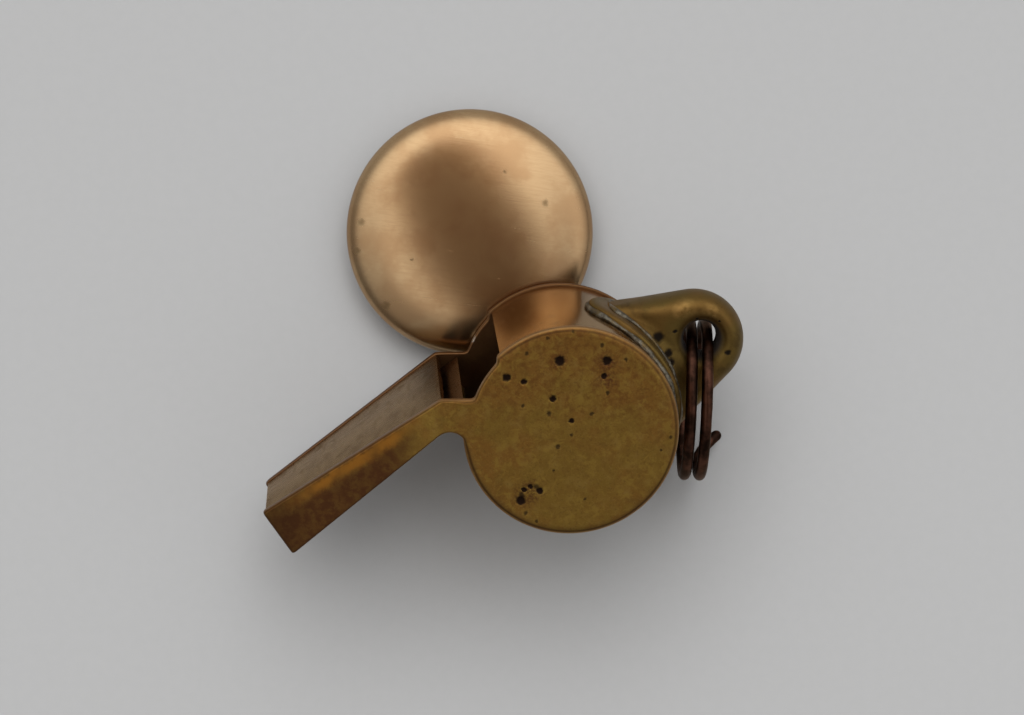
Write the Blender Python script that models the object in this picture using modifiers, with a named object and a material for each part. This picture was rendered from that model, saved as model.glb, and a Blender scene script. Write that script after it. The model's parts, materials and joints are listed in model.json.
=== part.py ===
# Brass pea whistle, leaning on the domed button that it is carried by.
# Metres, +Z up. The origin is on the table, below the middle of the whole object.
# The whistle has a leaning frame of its own: x to the right and y up in the plane of its side plates,
# z along the barrel, from the outer face of the far plate (0) to that of the near plate.

import math

import bmesh
import bpy
from mathutils import Matrix, Vector

MM = 0.001

# Clearances
SEAM = 0.3 * MM  # between pieces that are soldered or seated
RUNNING_FIT = 0.08 * MM  # radial, between the button's shank and its eye
TABLE_GAP = 0.1 * MM  # between the table and what only just rests on it

# How the whistle lies
LEAN = math.radians(15.8)  # barrel axis off the vertical
LEAN_AZIMUTH = math.radians(12.0)  # heading of the level axis that it leans about

# Barrel
PLATE_RADIUS = 10.25 * MM
PLATE_THICKNESS = 0.9 * MM
PLATE_EDGE_ROUND = 0.28 * MM
BARREL_WIDTH = 17.8 * MM  # over both side plates
BAND_STEP = 0.2 * MM  # the plates stand this far proud of the band
BAND_THICKNESS = 0.6 * MM
LIP_ANGLE = math.radians(132.5)
LIP_BEVEL_ANGLE = math.radians(4.0)
WINDOW_CUT = 0.5 * MM  # the plates are filed back this far beside the window

# Mouthpiece
NECK_LENGTH = 2.15 * MM  # from the disc to the fold of the cheek
NECK_HEIGHT = 3.2 * MM  # above the barrel's middle line
NOTCH_RADIUS = 1.6 * MM  # round notch under the neck
NOTCH_OFFSET = 1.25 * MM  # from the disc to the notch's middle
MOUTH_LENGTH = 20.95 * MM  # along its top edge
MOUTH_SLOPE = math.radians(35.7)
TIP_HEIGHT = 5.0 * MM
TIP_SLOPE = math.radians(54.5)
TIP_ROUND = 0.6 * MM
CHEEK_INSET = 3.9 * MM  # how far each cheek has leaned in at the tip
SHEET = 0.6 * MM  # thickness of the plates between the cheeks
SHEET_SINK = 0.12 * MM  # those plates lie this far below the cheeks' edges
WINDWAY_EXIT = 0.8 * MM
BLOCK_REACH = 1.6 * MM  # the windway block shows this far past the top plate
BLOCK_COVER = 1.2 * MM  # and goes this far back under it

# Cork pea
PEA_RADIUS = 4.0 * MM

# Carrying loop
LOOP_HEADING = math.radians(28.4)
LOOP_RISE = 3.85 * MM  # from the plates' rim to the middle of the loop's head
HEAD_RADIUS = 4.9 * MM
HOLE_RADIUS = 1.6 * MM
HOLE_OFFSET = 0.7 * MM  # the hole sits this far outside the middle of the head
LOOP_THICKNESS = 5.4 * MM
LOOP_EDGE_ROUND = 1.9 * MM
LOOP_ROOT_HALF_ANGLE = math.radians(41.0)
BASE_HALF_ANGLE = math.radians(52.0)
BASE_HALF_WIDTH = 6.2 * MM  # along the barrel
BASE_THICKNESS = 0.6 * MM

# Split ring
RING_WIRE = 1.1 * MM
RING_GAP = 0.4 * MM  # between its two turns
RING_RADIUS = 7.55 * MM  # to the middle of the wire
RING_HEADING = math.radians(-92.0)  # the way it hangs, seen from above
RING_SPLIT = math.radians(260.0)  # where the wire crosses from one turn to the other
RING_CROSSING = math.radians(60.0)  # length of that crossing
RING_END_GAP = math.radians(40.0)  # from the middle of the crossing to each end of the wire
RING_LIFT = 2.0 * MM  # the free end is bent out this far
RING_LIFT_LENGTH = math.radians(30.0)
RING_POINTS = 24  # points in one turn

# Button
BUTTON_RADIUS = 12.4 * MM
BUTTON_SIDE = -8.9 * MM  # its middle, from that of the far plate
BUTTON_BEHIND = 14.95 * MM
DOME_RISE = 3.1 * MM
SHELL_THICKNESS = 0.5 * MM
SHELL_LIP = 1.6 * MM  # width of the rolled lip under the rim
RIM_HEIGHT = 0.9 * MM  # from the underside of the lip to the widest line
BACK_THICKNESS = 0.5 * MM
SHANK_RADIUS = 1.0 * MM
SHANK_HEAD_RADIUS = 2.0 * MM
SHANK_COLLAR_RADIUS = 2.4 * MM
SHANK_COLLAR_HEIGHT = 0.5 * MM
TAB_THICKNESS = 1.0 * MM
TAB_PAD_RADIUS = 8.5 * MM
TAB_ARM_WIDTH = 6.0 * MM
TAB_RAMP_CLEARANCE = 0.4 * MM  # from the button's rim to where the arm starts to rise
TAB_RAMP_LENGTH = 3.0 * MM
TAB_SEAT_LENGTH = 6.0 * MM  # the end of the arm, which is soldered to the far plate

# Cross that marks a pivot on the screen
PIVOT_DRAWN_SIZE = 3.0 * MM

# Faces round a full turn
DISC_STEPS = 72
TURNED_STEPS = 48
SMALL_STEPS = 24

# What follows from these sizes
BAND_RADIUS = PLATE_RADIUS - BAND_STEP
BAND_BORE = BAND_RADIUS - BAND_THICKNESS
MIDDLE = BARREL_WIDTH / 2
PLATE_GAP = PLATE_THICKNESS + SEAM
FOLD_X = -(PLATE_RADIUS + NECK_LENGTH)
NECK_CORNER = Vector((FOLD_X, NECK_HEIGHT))
TOP_ALONG = Vector((-math.cos(MOUTH_SLOPE), -math.sin(MOUTH_SLOPE)))
TOP_INWARD = Vector((math.sin(MOUTH_SLOPE), -math.cos(MOUTH_SLOPE)))
TIP_TOP = NECK_CORNER + MOUTH_LENGTH * TOP_ALONG
TIP_BOTTOM = TIP_TOP + TIP_HEIGHT * Vector((math.cos(TIP_SLOPE), -math.sin(TIP_SLOPE)))
CHEEK_RATE = CHEEK_INSET / (FOLD_X - TIP_TOP.x)
NOTCH_CENTRE = Vector((-(PLATE_RADIUS + NOTCH_OFFSET), -NOTCH_RADIUS))
BASE_INNER = BAND_RADIUS + SEAM
BASE_OUTER = BASE_INNER + BASE_THICKNESS
LOOP_FOOT = BASE_OUTER + SEAM
LOOP_OUT = Vector((math.cos(LOOP_HEADING), math.sin(LOOP_HEADING)))
LOOP_REACH = PLATE_RADIUS + LOOP_RISE
HEAD_CENTRE = LOOP_REACH * LOOP_OUT
HOLE_CENTRE = (LOOP_REACH + HOLE_OFFSET) * LOOP_OUT
FAR_CENTRE = Vector((0.0, 0.0, PLATE_RADIUS * math.sin(LEAN)))
LEVEL_AXIS = Vector((math.cos(LEAN_AZIMUTH), math.sin(LEAN_AZIMUTH), 0.0))
WHISTLE_TURN = Matrix.Rotation(LEAN, 4, LEVEL_AXIS)
WHISTLE_FRAME = Matrix.Translation(FAR_CENTRE) @ WHISTLE_TURN
BUTTON_CENTRE = Vector((BUTTON_SIDE, BUTTON_BEHIND, 0.0))
SHELL_BOTTOM = TAB_THICKNESS + 2 * SEAM
SHELL_EDGE = SHELL_BOTTOM + RIM_HEIGHT
COLLAR_TOP = TAB_THICKNESS + SEAM + SHANK_COLLAR_HEIGHT
BACK_BOTTOM = max(COLLAR_TOP, SHELL_BOTTOM + SHELL_THICKNESS) + SEAM

BRASS = (0.235, 0.138, 0.030)
PALE_BRASS = (0.300, 0.180, 0.045)
GILT = (0.560, 0.330, 0.140)
NICKEL = (0.330, 0.310, 0.290)
COPPER = (0.075, 0.035, 0.024)
CORK = (0.360, 0.200, 0.090)


def clear_scene():
    for thing in list(bpy.data.objects):
        bpy.data.objects.remove(thing, do_unlink=True)


def new_collection(name):
    collection = bpy.data.collections.new(name)
    bpy.context.scene.collection.children.link(collection)
    return collection


def new_material(name, colour, roughness, metallic):
    material = bpy.data.materials.new(name)
    material.use_nodes = True
    shader = material.node_tree.nodes["Principled BSDF"]
    shader.inputs["Base Color"].default_value = (*colour, 1.0)
    shader.inputs["Roughness"].default_value = roughness
    shader.inputs["Metallic"].default_value = metallic
    return material


def new_empty(name, parent, collection, frame):
    empty = bpy.data.objects.new(name, None)
    empty.empty_display_size = PIVOT_DRAWN_SIZE
    collection.objects.link(empty)
    empty.parent = parent
    empty.matrix_local = frame
    return empty


def add_part(name, mesh, parent, collection, finish):
    """Put a mesh into the model as a named piece with a material of its own, shaded smooth."""
    part = bpy.data.objects.new(name, mesh)
    collection.objects.link(part)
    part.parent = parent
    mesh.materials.append(new_material(name + "_finish", *finish))
    mesh.shade_smooth()
    mesh.set_sharp_from_angle(angle=math.radians(35))
    return part


def add_cutter(name, mesh, parent, collection):
    cutter = bpy.data.objects.new(name, mesh)
    collection.objects.link(cutter)
    cutter.parent = parent
    cutter.hide_render = True
    cutter.display_type = "WIRE"
    return cutter


def combine(part, cutter, operation):
    boolean = part.modifiers.new(operation.lower(), "BOOLEAN")
    boolean.operation = operation
    boolean.solver = "EXACT"
    boolean.object = cutter


def round_edges(part, width, segments, least_angle):
    bevel = part.modifiers.new("round_edges", "BEVEL")
    bevel.width = width
    bevel.segments = segments
    bevel.limit_method = "ANGLE"
    bevel.angle_limit = least_angle


def arc(centre, radius, start, end, steps):
    """Points on an arc, both ends included."""
    points = []
    for i in range(steps + 1):
        angle = start + (end - start) * i / steps
        points.append(Vector((centre.x + radius * math.cos(angle), centre.y + radius * math.sin(angle))))
    return points


def rounded_corner(before, corner, after, radius, steps=4):
    """Points of a round corner between two straight edges."""
    back = (before - corner).normalized()
    ahead = (after - corner).normalized()
    half = math.acos(max(-1.0, min(1.0, back.dot(ahead)))) / 2
    reach = radius / math.tan(half)
    centre = corner + (back + ahead).normalized() * radius / math.sin(half)
    start = corner + back * reach - centre
    end = corner + ahead * reach - centre
    first = math.atan2(start.y, start.x)
    turn = math.atan2(start.x * end.y - start.y * end.x, start.dot(end))
    return arc(centre, radius, first, first + turn, steps)


def tangent_angle(point, centre, radius, side):
    """Angle on a circle at which the straight line to an outside point leaves it."""
    away = point - centre
    return math.atan2(away.y, away.x) + side * math.acos(radius / away.length)


def mesh_of_curve(curve, name):
    """The evaluated mesh of a curve, with its caps welded on; the curve is used up."""
    holder = bpy.data.objects.new(name + "_curve", curve)
    bpy.context.scene.collection.objects.link(holder)
    depsgraph = bpy.context.evaluated_depsgraph_get()
    mesh = bpy.data.meshes.new_from_object(holder.evaluated_get(depsgraph))
    mesh.name = name
    bpy.data.objects.remove(holder, do_unlink=True)
    bpy.data.curves.remove(curve)
    cage = bmesh.new()
    cage.from_mesh(mesh)
    bmesh.ops.remove_doubles(cage, verts=cage.verts, dist=0.001 * MM)
    bmesh.ops.recalc_face_normals(cage, faces=cage.faces)
    cage.to_mesh(mesh)
    cage.free()
    return mesh


def outline_mesh(name, points, bottom, top):
    """A flat outline with thickness, from bottom to top along z."""
    curve = bpy.data.curves.new(name, "CURVE")
    curve.dimensions = "2D"
    curve.fill_mode = "BOTH"
    curve.extrude = (top - bottom) / 2
    spline = curve.splines.new("POLY")
    spline.points.add(len(points) - 1)
    for place, point in zip(spline.points, points):
        place.co = (point.x, point.y, 0.0, 1.0)
    spline.use_cyclic_u = True
    mesh = mesh_of_curve(curve, name)
    mesh.transform(Matrix.Translation((0.0, 0.0, (top + bottom) / 2)))
    cage = bmesh.new()
    cage.from_mesh(mesh)
    bmesh.ops.dissolve_limit(cage, angle_limit=math.radians(0.5), verts=cage.verts, edges=cage.edges)
    cage.to_mesh(mesh)
    cage.free()
    return mesh


def split_at(cage, point, normal):
    everything = cage.verts[:] + cage.edges[:] + cage.faces[:]
    bmesh.ops.bisect_plane(cage, geom=everything, plane_co=point, plane_no=normal, dist=0.001 * MM)


def trim(cage, point, normal):
    """Cut away what lies on the side that the normal points to, and close the cut."""
    everything = cage.verts[:] + cage.edges[:] + cage.faces[:]
    bmesh.ops.bisect_plane(
        cage, geom=everything, plane_co=point, plane_no=normal, dist=0.001 * MM, clear_outer=True
    )
    bmesh.ops.holes_fill(cage, edges=[edge for edge in cage.edges if edge.is_boundary], sides=0)


def turned_part(name, profile, steps, parent, collection, finish):
    """A turned piece: its profile of (radius, height) points, closed unless it meets the axis."""
    part = add_part(name, profile_mesh(name, profile), parent, collection, finish)
    turn_profile(part, steps)
    return part


def profile_mesh(name, profile):
    mesh = bpy.data.meshes.new(name)
    edges = [(i, i + 1) for i in range(len(profile) - 1)]
    if profile[0][0] > 0 or profile[-1][0] > 0:
        edges.append((len(profile) - 1, 0))
    mesh.from_pydata([(radius, 0.0, height) for radius, height in profile], edges, [])
    return mesh


def turn_profile(part, steps):
    screw = part.modifiers.new("turn", "SCREW")
    screw.axis = "Z"
    screw.steps = steps
    screw.render_steps = steps
    screw.use_merge_vertices = True
    screw.merge_threshold = 0.001 * MM
    screw.use_smooth_shade = True


def side_plate_outline():
    """Disc with a neck and a cheek, anticlockwise from the notch under the neck."""
    apart = NOTCH_CENTRE.length
    along = (apart**2 + PLATE_RADIUS**2 - NOTCH_RADIUS**2) / (2 * apart)
    across = math.sqrt(PLATE_RADIUS**2 - along**2)
    out = NOTCH_CENTRE.normalized()
    meeting = along * out + across * Vector((out.y, -out.x))
    disc_start = math.atan2(meeting.y, meeting.x) % math.tau
    cut_radius = PLATE_RADIUS - WINDOW_CUT
    window_start = LIP_ANGLE + LIP_BEVEL_ANGLE / 2
    neck_angle = math.pi - math.asin(NECK_HEIGHT / cut_radius)
    origin = Vector((0.0, 0.0))
    points = arc(origin, PLATE_RADIUS, disc_start, window_start + math.tau, DISC_STEPS)
    points += arc(origin, cut_radius, window_start + LIP_BEVEL_ANGLE / 2, neck_angle, 8)
    points.append(NECK_CORNER)
    points += rounded_corner(NECK_CORNER, TIP_TOP, TIP_BOTTOM, TIP_ROUND)
    points += rounded_corner(TIP_TOP, TIP_BOTTOM, notch_tangent(), TIP_ROUND)
    from_meeting = meeting - NOTCH_CENTRE
    notch_end = math.atan2(from_meeting.y, from_meeting.x)
    notch_start = tangent_angle(TIP_BOTTOM, NOTCH_CENTRE, NOTCH_RADIUS, -1)
    if notch_start < notch_end:
        notch_start += math.tau
    points += arc(NOTCH_CENTRE, NOTCH_RADIUS, notch_start, notch_end, 8)[:-1]
    return points


def notch_tangent():
    """Where the cheek's straight lower edge runs into the notch."""
    angle = tangent_angle(TIP_BOTTOM, NOTCH_CENTRE, NOTCH_RADIUS, -1)
    return NOTCH_CENTRE + NOTCH_RADIUS * Vector((math.cos(angle), math.sin(angle)))


def make_side_plate(name, bottom, inward, parent, collection):
    """A side plate whose cheek is folded inward (along z, by sign)."""
    mesh = outline_mesh(name, side_plate_outline(), bottom, bottom + PLATE_THICKNESS)
    cage = bmesh.new()
    cage.from_mesh(mesh)
    split_at(cage, (FOLD_X, 0.0, 0.0), (1.0, 0.0, 0.0))
    for vert in cage.verts:
        vert.co.z += inward * CHEEK_RATE * max(0.0, FOLD_X - vert.co.x)
    cage.to_mesh(mesh)
    cage.free()
    plate = add_part(name, mesh, parent, collection, (BRASS, 0.35, 1.0))
    round_edges(plate, PLATE_EDGE_ROUND, 2, math.radians(40))


def make_band(parent, collection):
    """Annular strip from the neck round under the barrel and over the top to the lip."""
    origin = Vector((0.0, 0.0))
    start = -math.pi + math.asin(SEAM / BAND_BORE)
    outer = arc(origin, BAND_RADIUS, start, LIP_ANGLE, DISC_STEPS)
    inner = arc(origin, BAND_BORE, start, LIP_ANGLE - LIP_BEVEL_ANGLE, DISC_STEPS)
    mesh = outline_mesh("barrel_band", outer + inner[::-1], PLATE_GAP, BARREL_WIDTH - PLATE_GAP)
    add_part("barrel_band", mesh, parent, collection, (NICKEL, 0.2, 1.0))


def make_between_cheeks(name, points, finish, parent, collection):
    """A plate or block that fills the width between the side plates and their cheeks."""
    mesh = outline_mesh(name, points, 0.0, BARREL_WIDTH)
    cage = bmesh.new()
    cage.from_mesh(mesh)
    far_side = Vector((FOLD_X, 0.0, PLATE_GAP))
    near_side = Vector((FOLD_X, 0.0, BARREL_WIDTH - PLATE_GAP))
    trim(cage, far_side, (0.0, 0.0, -1.0))
    trim(cage, near_side, (0.0, 0.0, 1.0))
    trim(cage, far_side, (-CHEEK_RATE, 0.0, -1.0))
    trim(cage, near_side, (-CHEEK_RATE, 0.0, 1.0))
    bmesh.ops.recalc_face_normals(cage, faces=cage.faces)
    cage.to_mesh(mesh)
    cage.free()
    add_part(name, mesh, parent, collection, finish)


def make_mouthpiece(parent, collection):
    top_outer = SHEET_SINK
    top_inner = SHEET_SINK + SHEET
    top_end = MOUTH_LENGTH - TIP_ROUND / 2
    top_plate = [
        NECK_CORNER + top_outer * TOP_INWARD,
        NECK_CORNER + top_end * TOP_ALONG + top_outer * TOP_INWARD,
        NECK_CORNER + top_end * TOP_ALONG + top_inner * TOP_INWARD,
        NECK_CORNER + top_inner * TOP_INWARD,
    ]
    make_between_cheeks("mouthpiece_top_plate", top_plate, (NICKEL, 0.35, 1.0), parent, collection)

    floor_end = notch_tangent()
    floor_along = (floor_end - TIP_BOTTOM).normalized()
    floor_inward = Vector((-floor_along.y, floor_along.x))
    floor_start = TIP_BOTTOM + floor_along * TIP_ROUND
    floor_plate = [
        floor_start + SHEET_SINK * floor_inward,
        floor_end + SHEET_SINK * floor_inward,
        floor_end + (SHEET_SINK + SHEET) * floor_inward,
        floor_start + (SHEET_SINK + SHEET) * floor_inward,
    ]
    make_between_cheeks("mouthpiece_floor_plate", floor_plate, (BRASS, 0.4, 1.0), parent, collection)

    block_depth = top_inner + WINDWAY_EXIT
    block_front = NECK_CORNER - BLOCK_REACH * TOP_ALONG + block_depth * TOP_INWARD
    windway_block = [
        NECK_CORNER + BLOCK_COVER * TOP_ALONG + block_depth * TOP_INWARD,
        Vector((floor_end.x + SHEET, SEAM)),
        Vector((block_front.x, SEAM)),
        block_front,
    ]
    make_between_cheeks("windway_block", windway_block, (NICKEL, 0.3, 1.0), parent, collection)


def make_pea(parent, collection):
    """Cork ball at the low point of the leaning barrel, on a pivot on the barrel's axis."""
    pivot = new_empty("pea_pivot", parent, collection, Matrix.Translation((0.0, 0.0, MIDDLE)))
    down = WHISTLE_TURN.to_3x3().inverted() @ Vector((0.0, 0.0, -1.0))
    downhill = Vector((down.x, down.y)).normalized()
    place = downhill * (BAND_BORE - SEAM - PEA_RADIUS)
    height = PLATE_GAP + PEA_RADIUS - MIDDLE
    cage = bmesh.new()
    bmesh.ops.create_uvsphere(cage, u_segments=SMALL_STEPS, v_segments=14, radius=PEA_RADIUS)
    bmesh.ops.translate(cage, verts=cage.verts, vec=(place.x, place.y, height))
    mesh = bpy.data.meshes.new("cork_pea")
    cage.to_mesh(mesh)
    cage.free()
    add_part("cork_pea", mesh, pivot, collection, (CORK, 0.8, 0.0))


def make_loop(parent, collection, cutters):
    """Oval saddle plate on the barrel, and the stout loop that stands on it."""
    origin = Vector((0.0, 0.0))
    start = LOOP_HEADING - BASE_HALF_ANGLE
    end = LOOP_HEADING + BASE_HALF_ANGLE
    shell = arc(origin, BASE_OUTER, start, end, 30) + arc(origin, BASE_INNER, end, start, 30)
    bottom = MIDDLE - BASE_HALF_WIDTH - SEAM
    top = MIDDLE + BASE_HALF_WIDTH + SEAM
    base_mesh = outline_mesh("loop_base", shell, bottom, top)
    base = add_part("loop_base", base_mesh, parent, collection, (PALE_BRASS, 0.4, 1.0))
    cage = bmesh.new()
    bmesh.ops.create_cone(
        cage, cap_ends=True, segments=40, radius1=1.0, radius2=1.0, depth=4 * PLATE_RADIUS
    )
    half_chord = BASE_OUTER * math.sin(BASE_HALF_ANGLE) - SEAM
    bmesh.ops.scale(cage, vec=(BASE_HALF_WIDTH, half_chord, 1.0), verts=cage.verts)
    oval_frame = Matrix.Rotation(LOOP_HEADING, 4, "Z") @ Matrix.Rotation(math.pi / 2, 4, "Y")
    bmesh.ops.transform(cage, matrix=oval_frame, verts=cage.verts)
    bmesh.ops.translate(cage, vec=(*(LOOP_OUT * 2.2 * PLATE_RADIUS), MIDDLE), verts=cage.verts)
    oval = bpy.data.meshes.new("base_oval")
    cage.to_mesh(oval)
    cage.free()
    combine(base, add_cutter("base_oval", oval, parent, cutters), "INTERSECT")

    upper_root = LOOP_HEADING + LOOP_ROOT_HALF_ANGLE
    lower_root = LOOP_HEADING - LOOP_ROOT_HALF_ANGLE
    upper = LOOP_FOOT * Vector((math.cos(upper_root), math.sin(upper_root)))
    lower = LOOP_FOOT * Vector((math.cos(lower_root), math.sin(lower_root)))
    head_start = tangent_angle(lower, HEAD_CENTRE, HEAD_RADIUS, 1)
    head_end = tangent_angle(upper, HEAD_CENTRE, HEAD_RADIUS, -1)
    if head_end < head_start:
        head_end += math.tau
    outline = [lower] + arc(HEAD_CENTRE, HEAD_RADIUS, head_start, head_end, 20) + [upper]
    outline += [upper * 0.8, lower * 0.8]
    half = LOOP_THICKNESS / 2
    loop_mesh = outline_mesh("carry_loop", outline, MIDDLE - half, MIDDLE + half)
    loop = add_part("carry_loop", loop_mesh, parent, collection, (PALE_BRASS, 0.35, 1.0))
    round_edges(loop, LOOP_EDGE_ROUND, 4, math.radians(60))
    cage = bmesh.new()
    bmesh.ops.create_cone(
        cage, cap_ends=True, segments=DISC_STEPS, radius1=LOOP_FOOT, radius2=LOOP_FOOT,
        depth=2 * BARREL_WIDTH,
    )
    bmesh.ops.translate(cage, vec=(0.0, 0.0, MIDDLE), verts=cage.verts)
    foot = bpy.data.meshes.new("loop_foot")
    cage.to_mesh(foot)
    cage.free()
    combine(loop, add_cutter("loop_foot", foot, parent, cutters), "DIFFERENCE")
    hole = add_cutter("loop_hole", profile_mesh("loop_hole", trumpet_profile()), parent, cutters)
    hole.location = (*HOLE_CENTRE, MIDDLE)
    turn_profile(hole, SMALL_STEPS)
    combine(loop, hole, "DIFFERENCE")


def trumpet_profile():
    """Hole that opens out in a round towards both faces, from top to bottom."""
    half = LOOP_THICKNESS / 2
    flare = half + SEAM
    steps = 12
    profile = [(0.0, flare)]
    for i in range(steps + 1):
        angle = math.radians(80) * (1 - 2 * i / steps)
        profile.append((HOLE_RADIUS + flare * (1 - math.cos(angle)), flare * math.sin(angle)))
    profile[1] = (profile[1][0], flare)
    profile[-1] = (profile[-1][0], -flare)
    profile.append((0.0, -flare))
    return profile


def ring_points(hole):
    """Middle line of the ring's wire: two turns side by side with one crossing, resting on the table."""
    out = Vector((math.cos(RING_HEADING), math.sin(RING_HEADING), 0.0))
    up = Vector((0.0, 0.0, 1.0))
    axis = up.cross(out)
    centre_height = RING_RADIUS + RING_WIRE / 2 + TABLE_GAP
    drop = max(-RING_RADIUS, min(RING_RADIUS, hole.z - centre_height))
    centre = hole + out * math.sqrt(RING_RADIUS**2 - drop**2) - up * drop
    pitch = RING_WIRE + RING_GAP
    length = 2 * math.tau - 2 * RING_END_GAP
    count = round(length / math.tau * RING_POINTS)
    points = []
    for i in range(count + 1):
        turned = RING_END_GAP + length * i / count
        crossed = (turned - math.tau) / RING_CROSSING + 0.5
        crossed = max(0.0, min(1.0, crossed))
        side = pitch * (crossed * crossed * (3 - 2 * crossed) - 0.5)
        lifted = 1 - (RING_END_GAP + length - turned) / RING_LIFT_LENGTH
        side += RING_LIFT * max(0.0, lifted) ** 2
        angle = RING_SPLIT - turned
        reach = RING_RADIUS * (out * math.cos(angle) + up * math.sin(angle))
        points.append(centre + reach + axis * side)
    return points


def report_ring_gap(points):
    """Print the least gap between stretches of the wire that aren't neighbours along it."""
    apart = RING_POINTS // 3
    least = min(
        (points[i] - points[j]).length
        for i in range(len(points))
        for j in range(i + apart, len(points))
    )
    print("split ring: least gap to itself %.2f mm" % ((least - RING_WIRE) / MM))


def make_ring(parent, collection):
    """Split ring on a pivot in the loop's hole, whose axis runs along the barrel."""
    hole = Vector((*HOLE_CENTRE, MIDDLE))
    pivot = new_empty("ring_pivot", parent, collection, Matrix.Translation(hole))
    to_pivot = (WHISTLE_FRAME @ Matrix.Translation(hole)).inverted()
    points = ring_points(WHISTLE_FRAME @ hole)
    report_ring_gap(points)
    curve = bpy.data.curves.new("split_ring", "CURVE")
    curve.dimensions = "3D"
    curve.bevel_depth = RING_WIRE / 2
    curve.bevel_resolution = 1
    curve.use_fill_caps = True
    spline = curve.splines.new("POLY")
    spline.points.add(len(points) - 1)
    for place, point in zip(spline.points, points):
        place.co = (*(to_pivot @ point), 1.0)
    mesh = mesh_of_curve(curve, "split_ring")
    add_part("split_ring", mesh, pivot, collection, (COPPER, 0.4, 1.0))


def dome_profile():
    """Closed profile of the button's thin front: outside down to the lip, then back up inside."""
    steps = 14
    lip_radius = BUTTON_RADIUS - SHELL_LIP
    inner_radius = BUTTON_RADIUS - SHELL_THICKNESS
    inner_rise = DOME_RISE - SHELL_THICKNESS
    profile = []
    for i in range(steps + 1):
        angle = math.pi / 2 * i / steps
        profile.append((BUTTON_RADIUS * math.sin(angle), SHELL_EDGE + DOME_RISE * math.cos(angle)))
    profile.append((BUTTON_RADIUS - RIM_HEIGHT / 4, SHELL_BOTTOM + RIM_HEIGHT / 4))
    profile.append((BUTTON_RADIUS - RIM_HEIGHT / 2, SHELL_BOTTOM))
    profile.append((lip_radius, SHELL_BOTTOM))
    profile.append((lip_radius, SHELL_BOTTOM + SHELL_THICKNESS))
    profile.append((inner_radius, SHELL_BOTTOM + SHELL_THICKNESS))
    for i in range(steps, -1, -1):
        angle = math.pi / 2 * i / steps
        profile.append((inner_radius * math.sin(angle), SHELL_EDGE + inner_rise * math.cos(angle)))
    return profile


def make_button(parent, collection):
    """Hollow button on a shank; everything here turns about the shank's upright axis."""
    pivot = new_empty("button_pivot", parent, collection, Matrix.Translation(BUTTON_CENTRE))
    turned_part("button_front_shell", dome_profile(), TURNED_STEPS, pivot, collection, (GILT, 0.3, 1.0))

    back_radius = BUTTON_RADIUS - SHELL_THICKNESS - SEAM
    back_top = BACK_BOTTOM + BACK_THICKNESS
    back = [
        (0.0, back_top),
        (back_radius - BACK_THICKNESS, back_top),
        (back_radius, BACK_BOTTOM + BACK_THICKNESS / 2),
        (back_radius, BACK_BOTTOM),
        (0.0, BACK_BOTTOM),
    ]
    turned_part("button_back_plate", back, TURNED_STEPS, pivot, collection, (PALE_BRASS, 0.45, 1.0))

    head_bottom = TABLE_GAP
    head_top = head_bottom + SHANK_HEAD_RADIUS - SHANK_RADIUS
    collar_bottom = TAB_THICKNESS + SEAM
    shank = [
        (0.0, COLLAR_TOP),
        (SHANK_COLLAR_RADIUS, COLLAR_TOP),
        (SHANK_COLLAR_RADIUS, collar_bottom),
        (SHANK_RADIUS, collar_bottom),
        (SHANK_RADIUS, min(head_top, TAB_THICKNESS)),
        (SHANK_HEAD_RADIUS, head_bottom),
        (0.0, head_bottom),
    ]
    turned_part("button_shank", shank, SMALL_STEPS, pivot, collection, (BRASS, 0.4, 1.0))


def height_under_plate(x, y):
    """Height of the far plate's outer face above the table."""
    normal = WHISTLE_TURN.to_3x3() @ Vector((0.0, 0.0, 1.0))
    return FAR_CENTRE.z - (normal.x * (x - FAR_CENTRE.x) + normal.y * (y - FAR_CENTRE.y)) / normal.z


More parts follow.
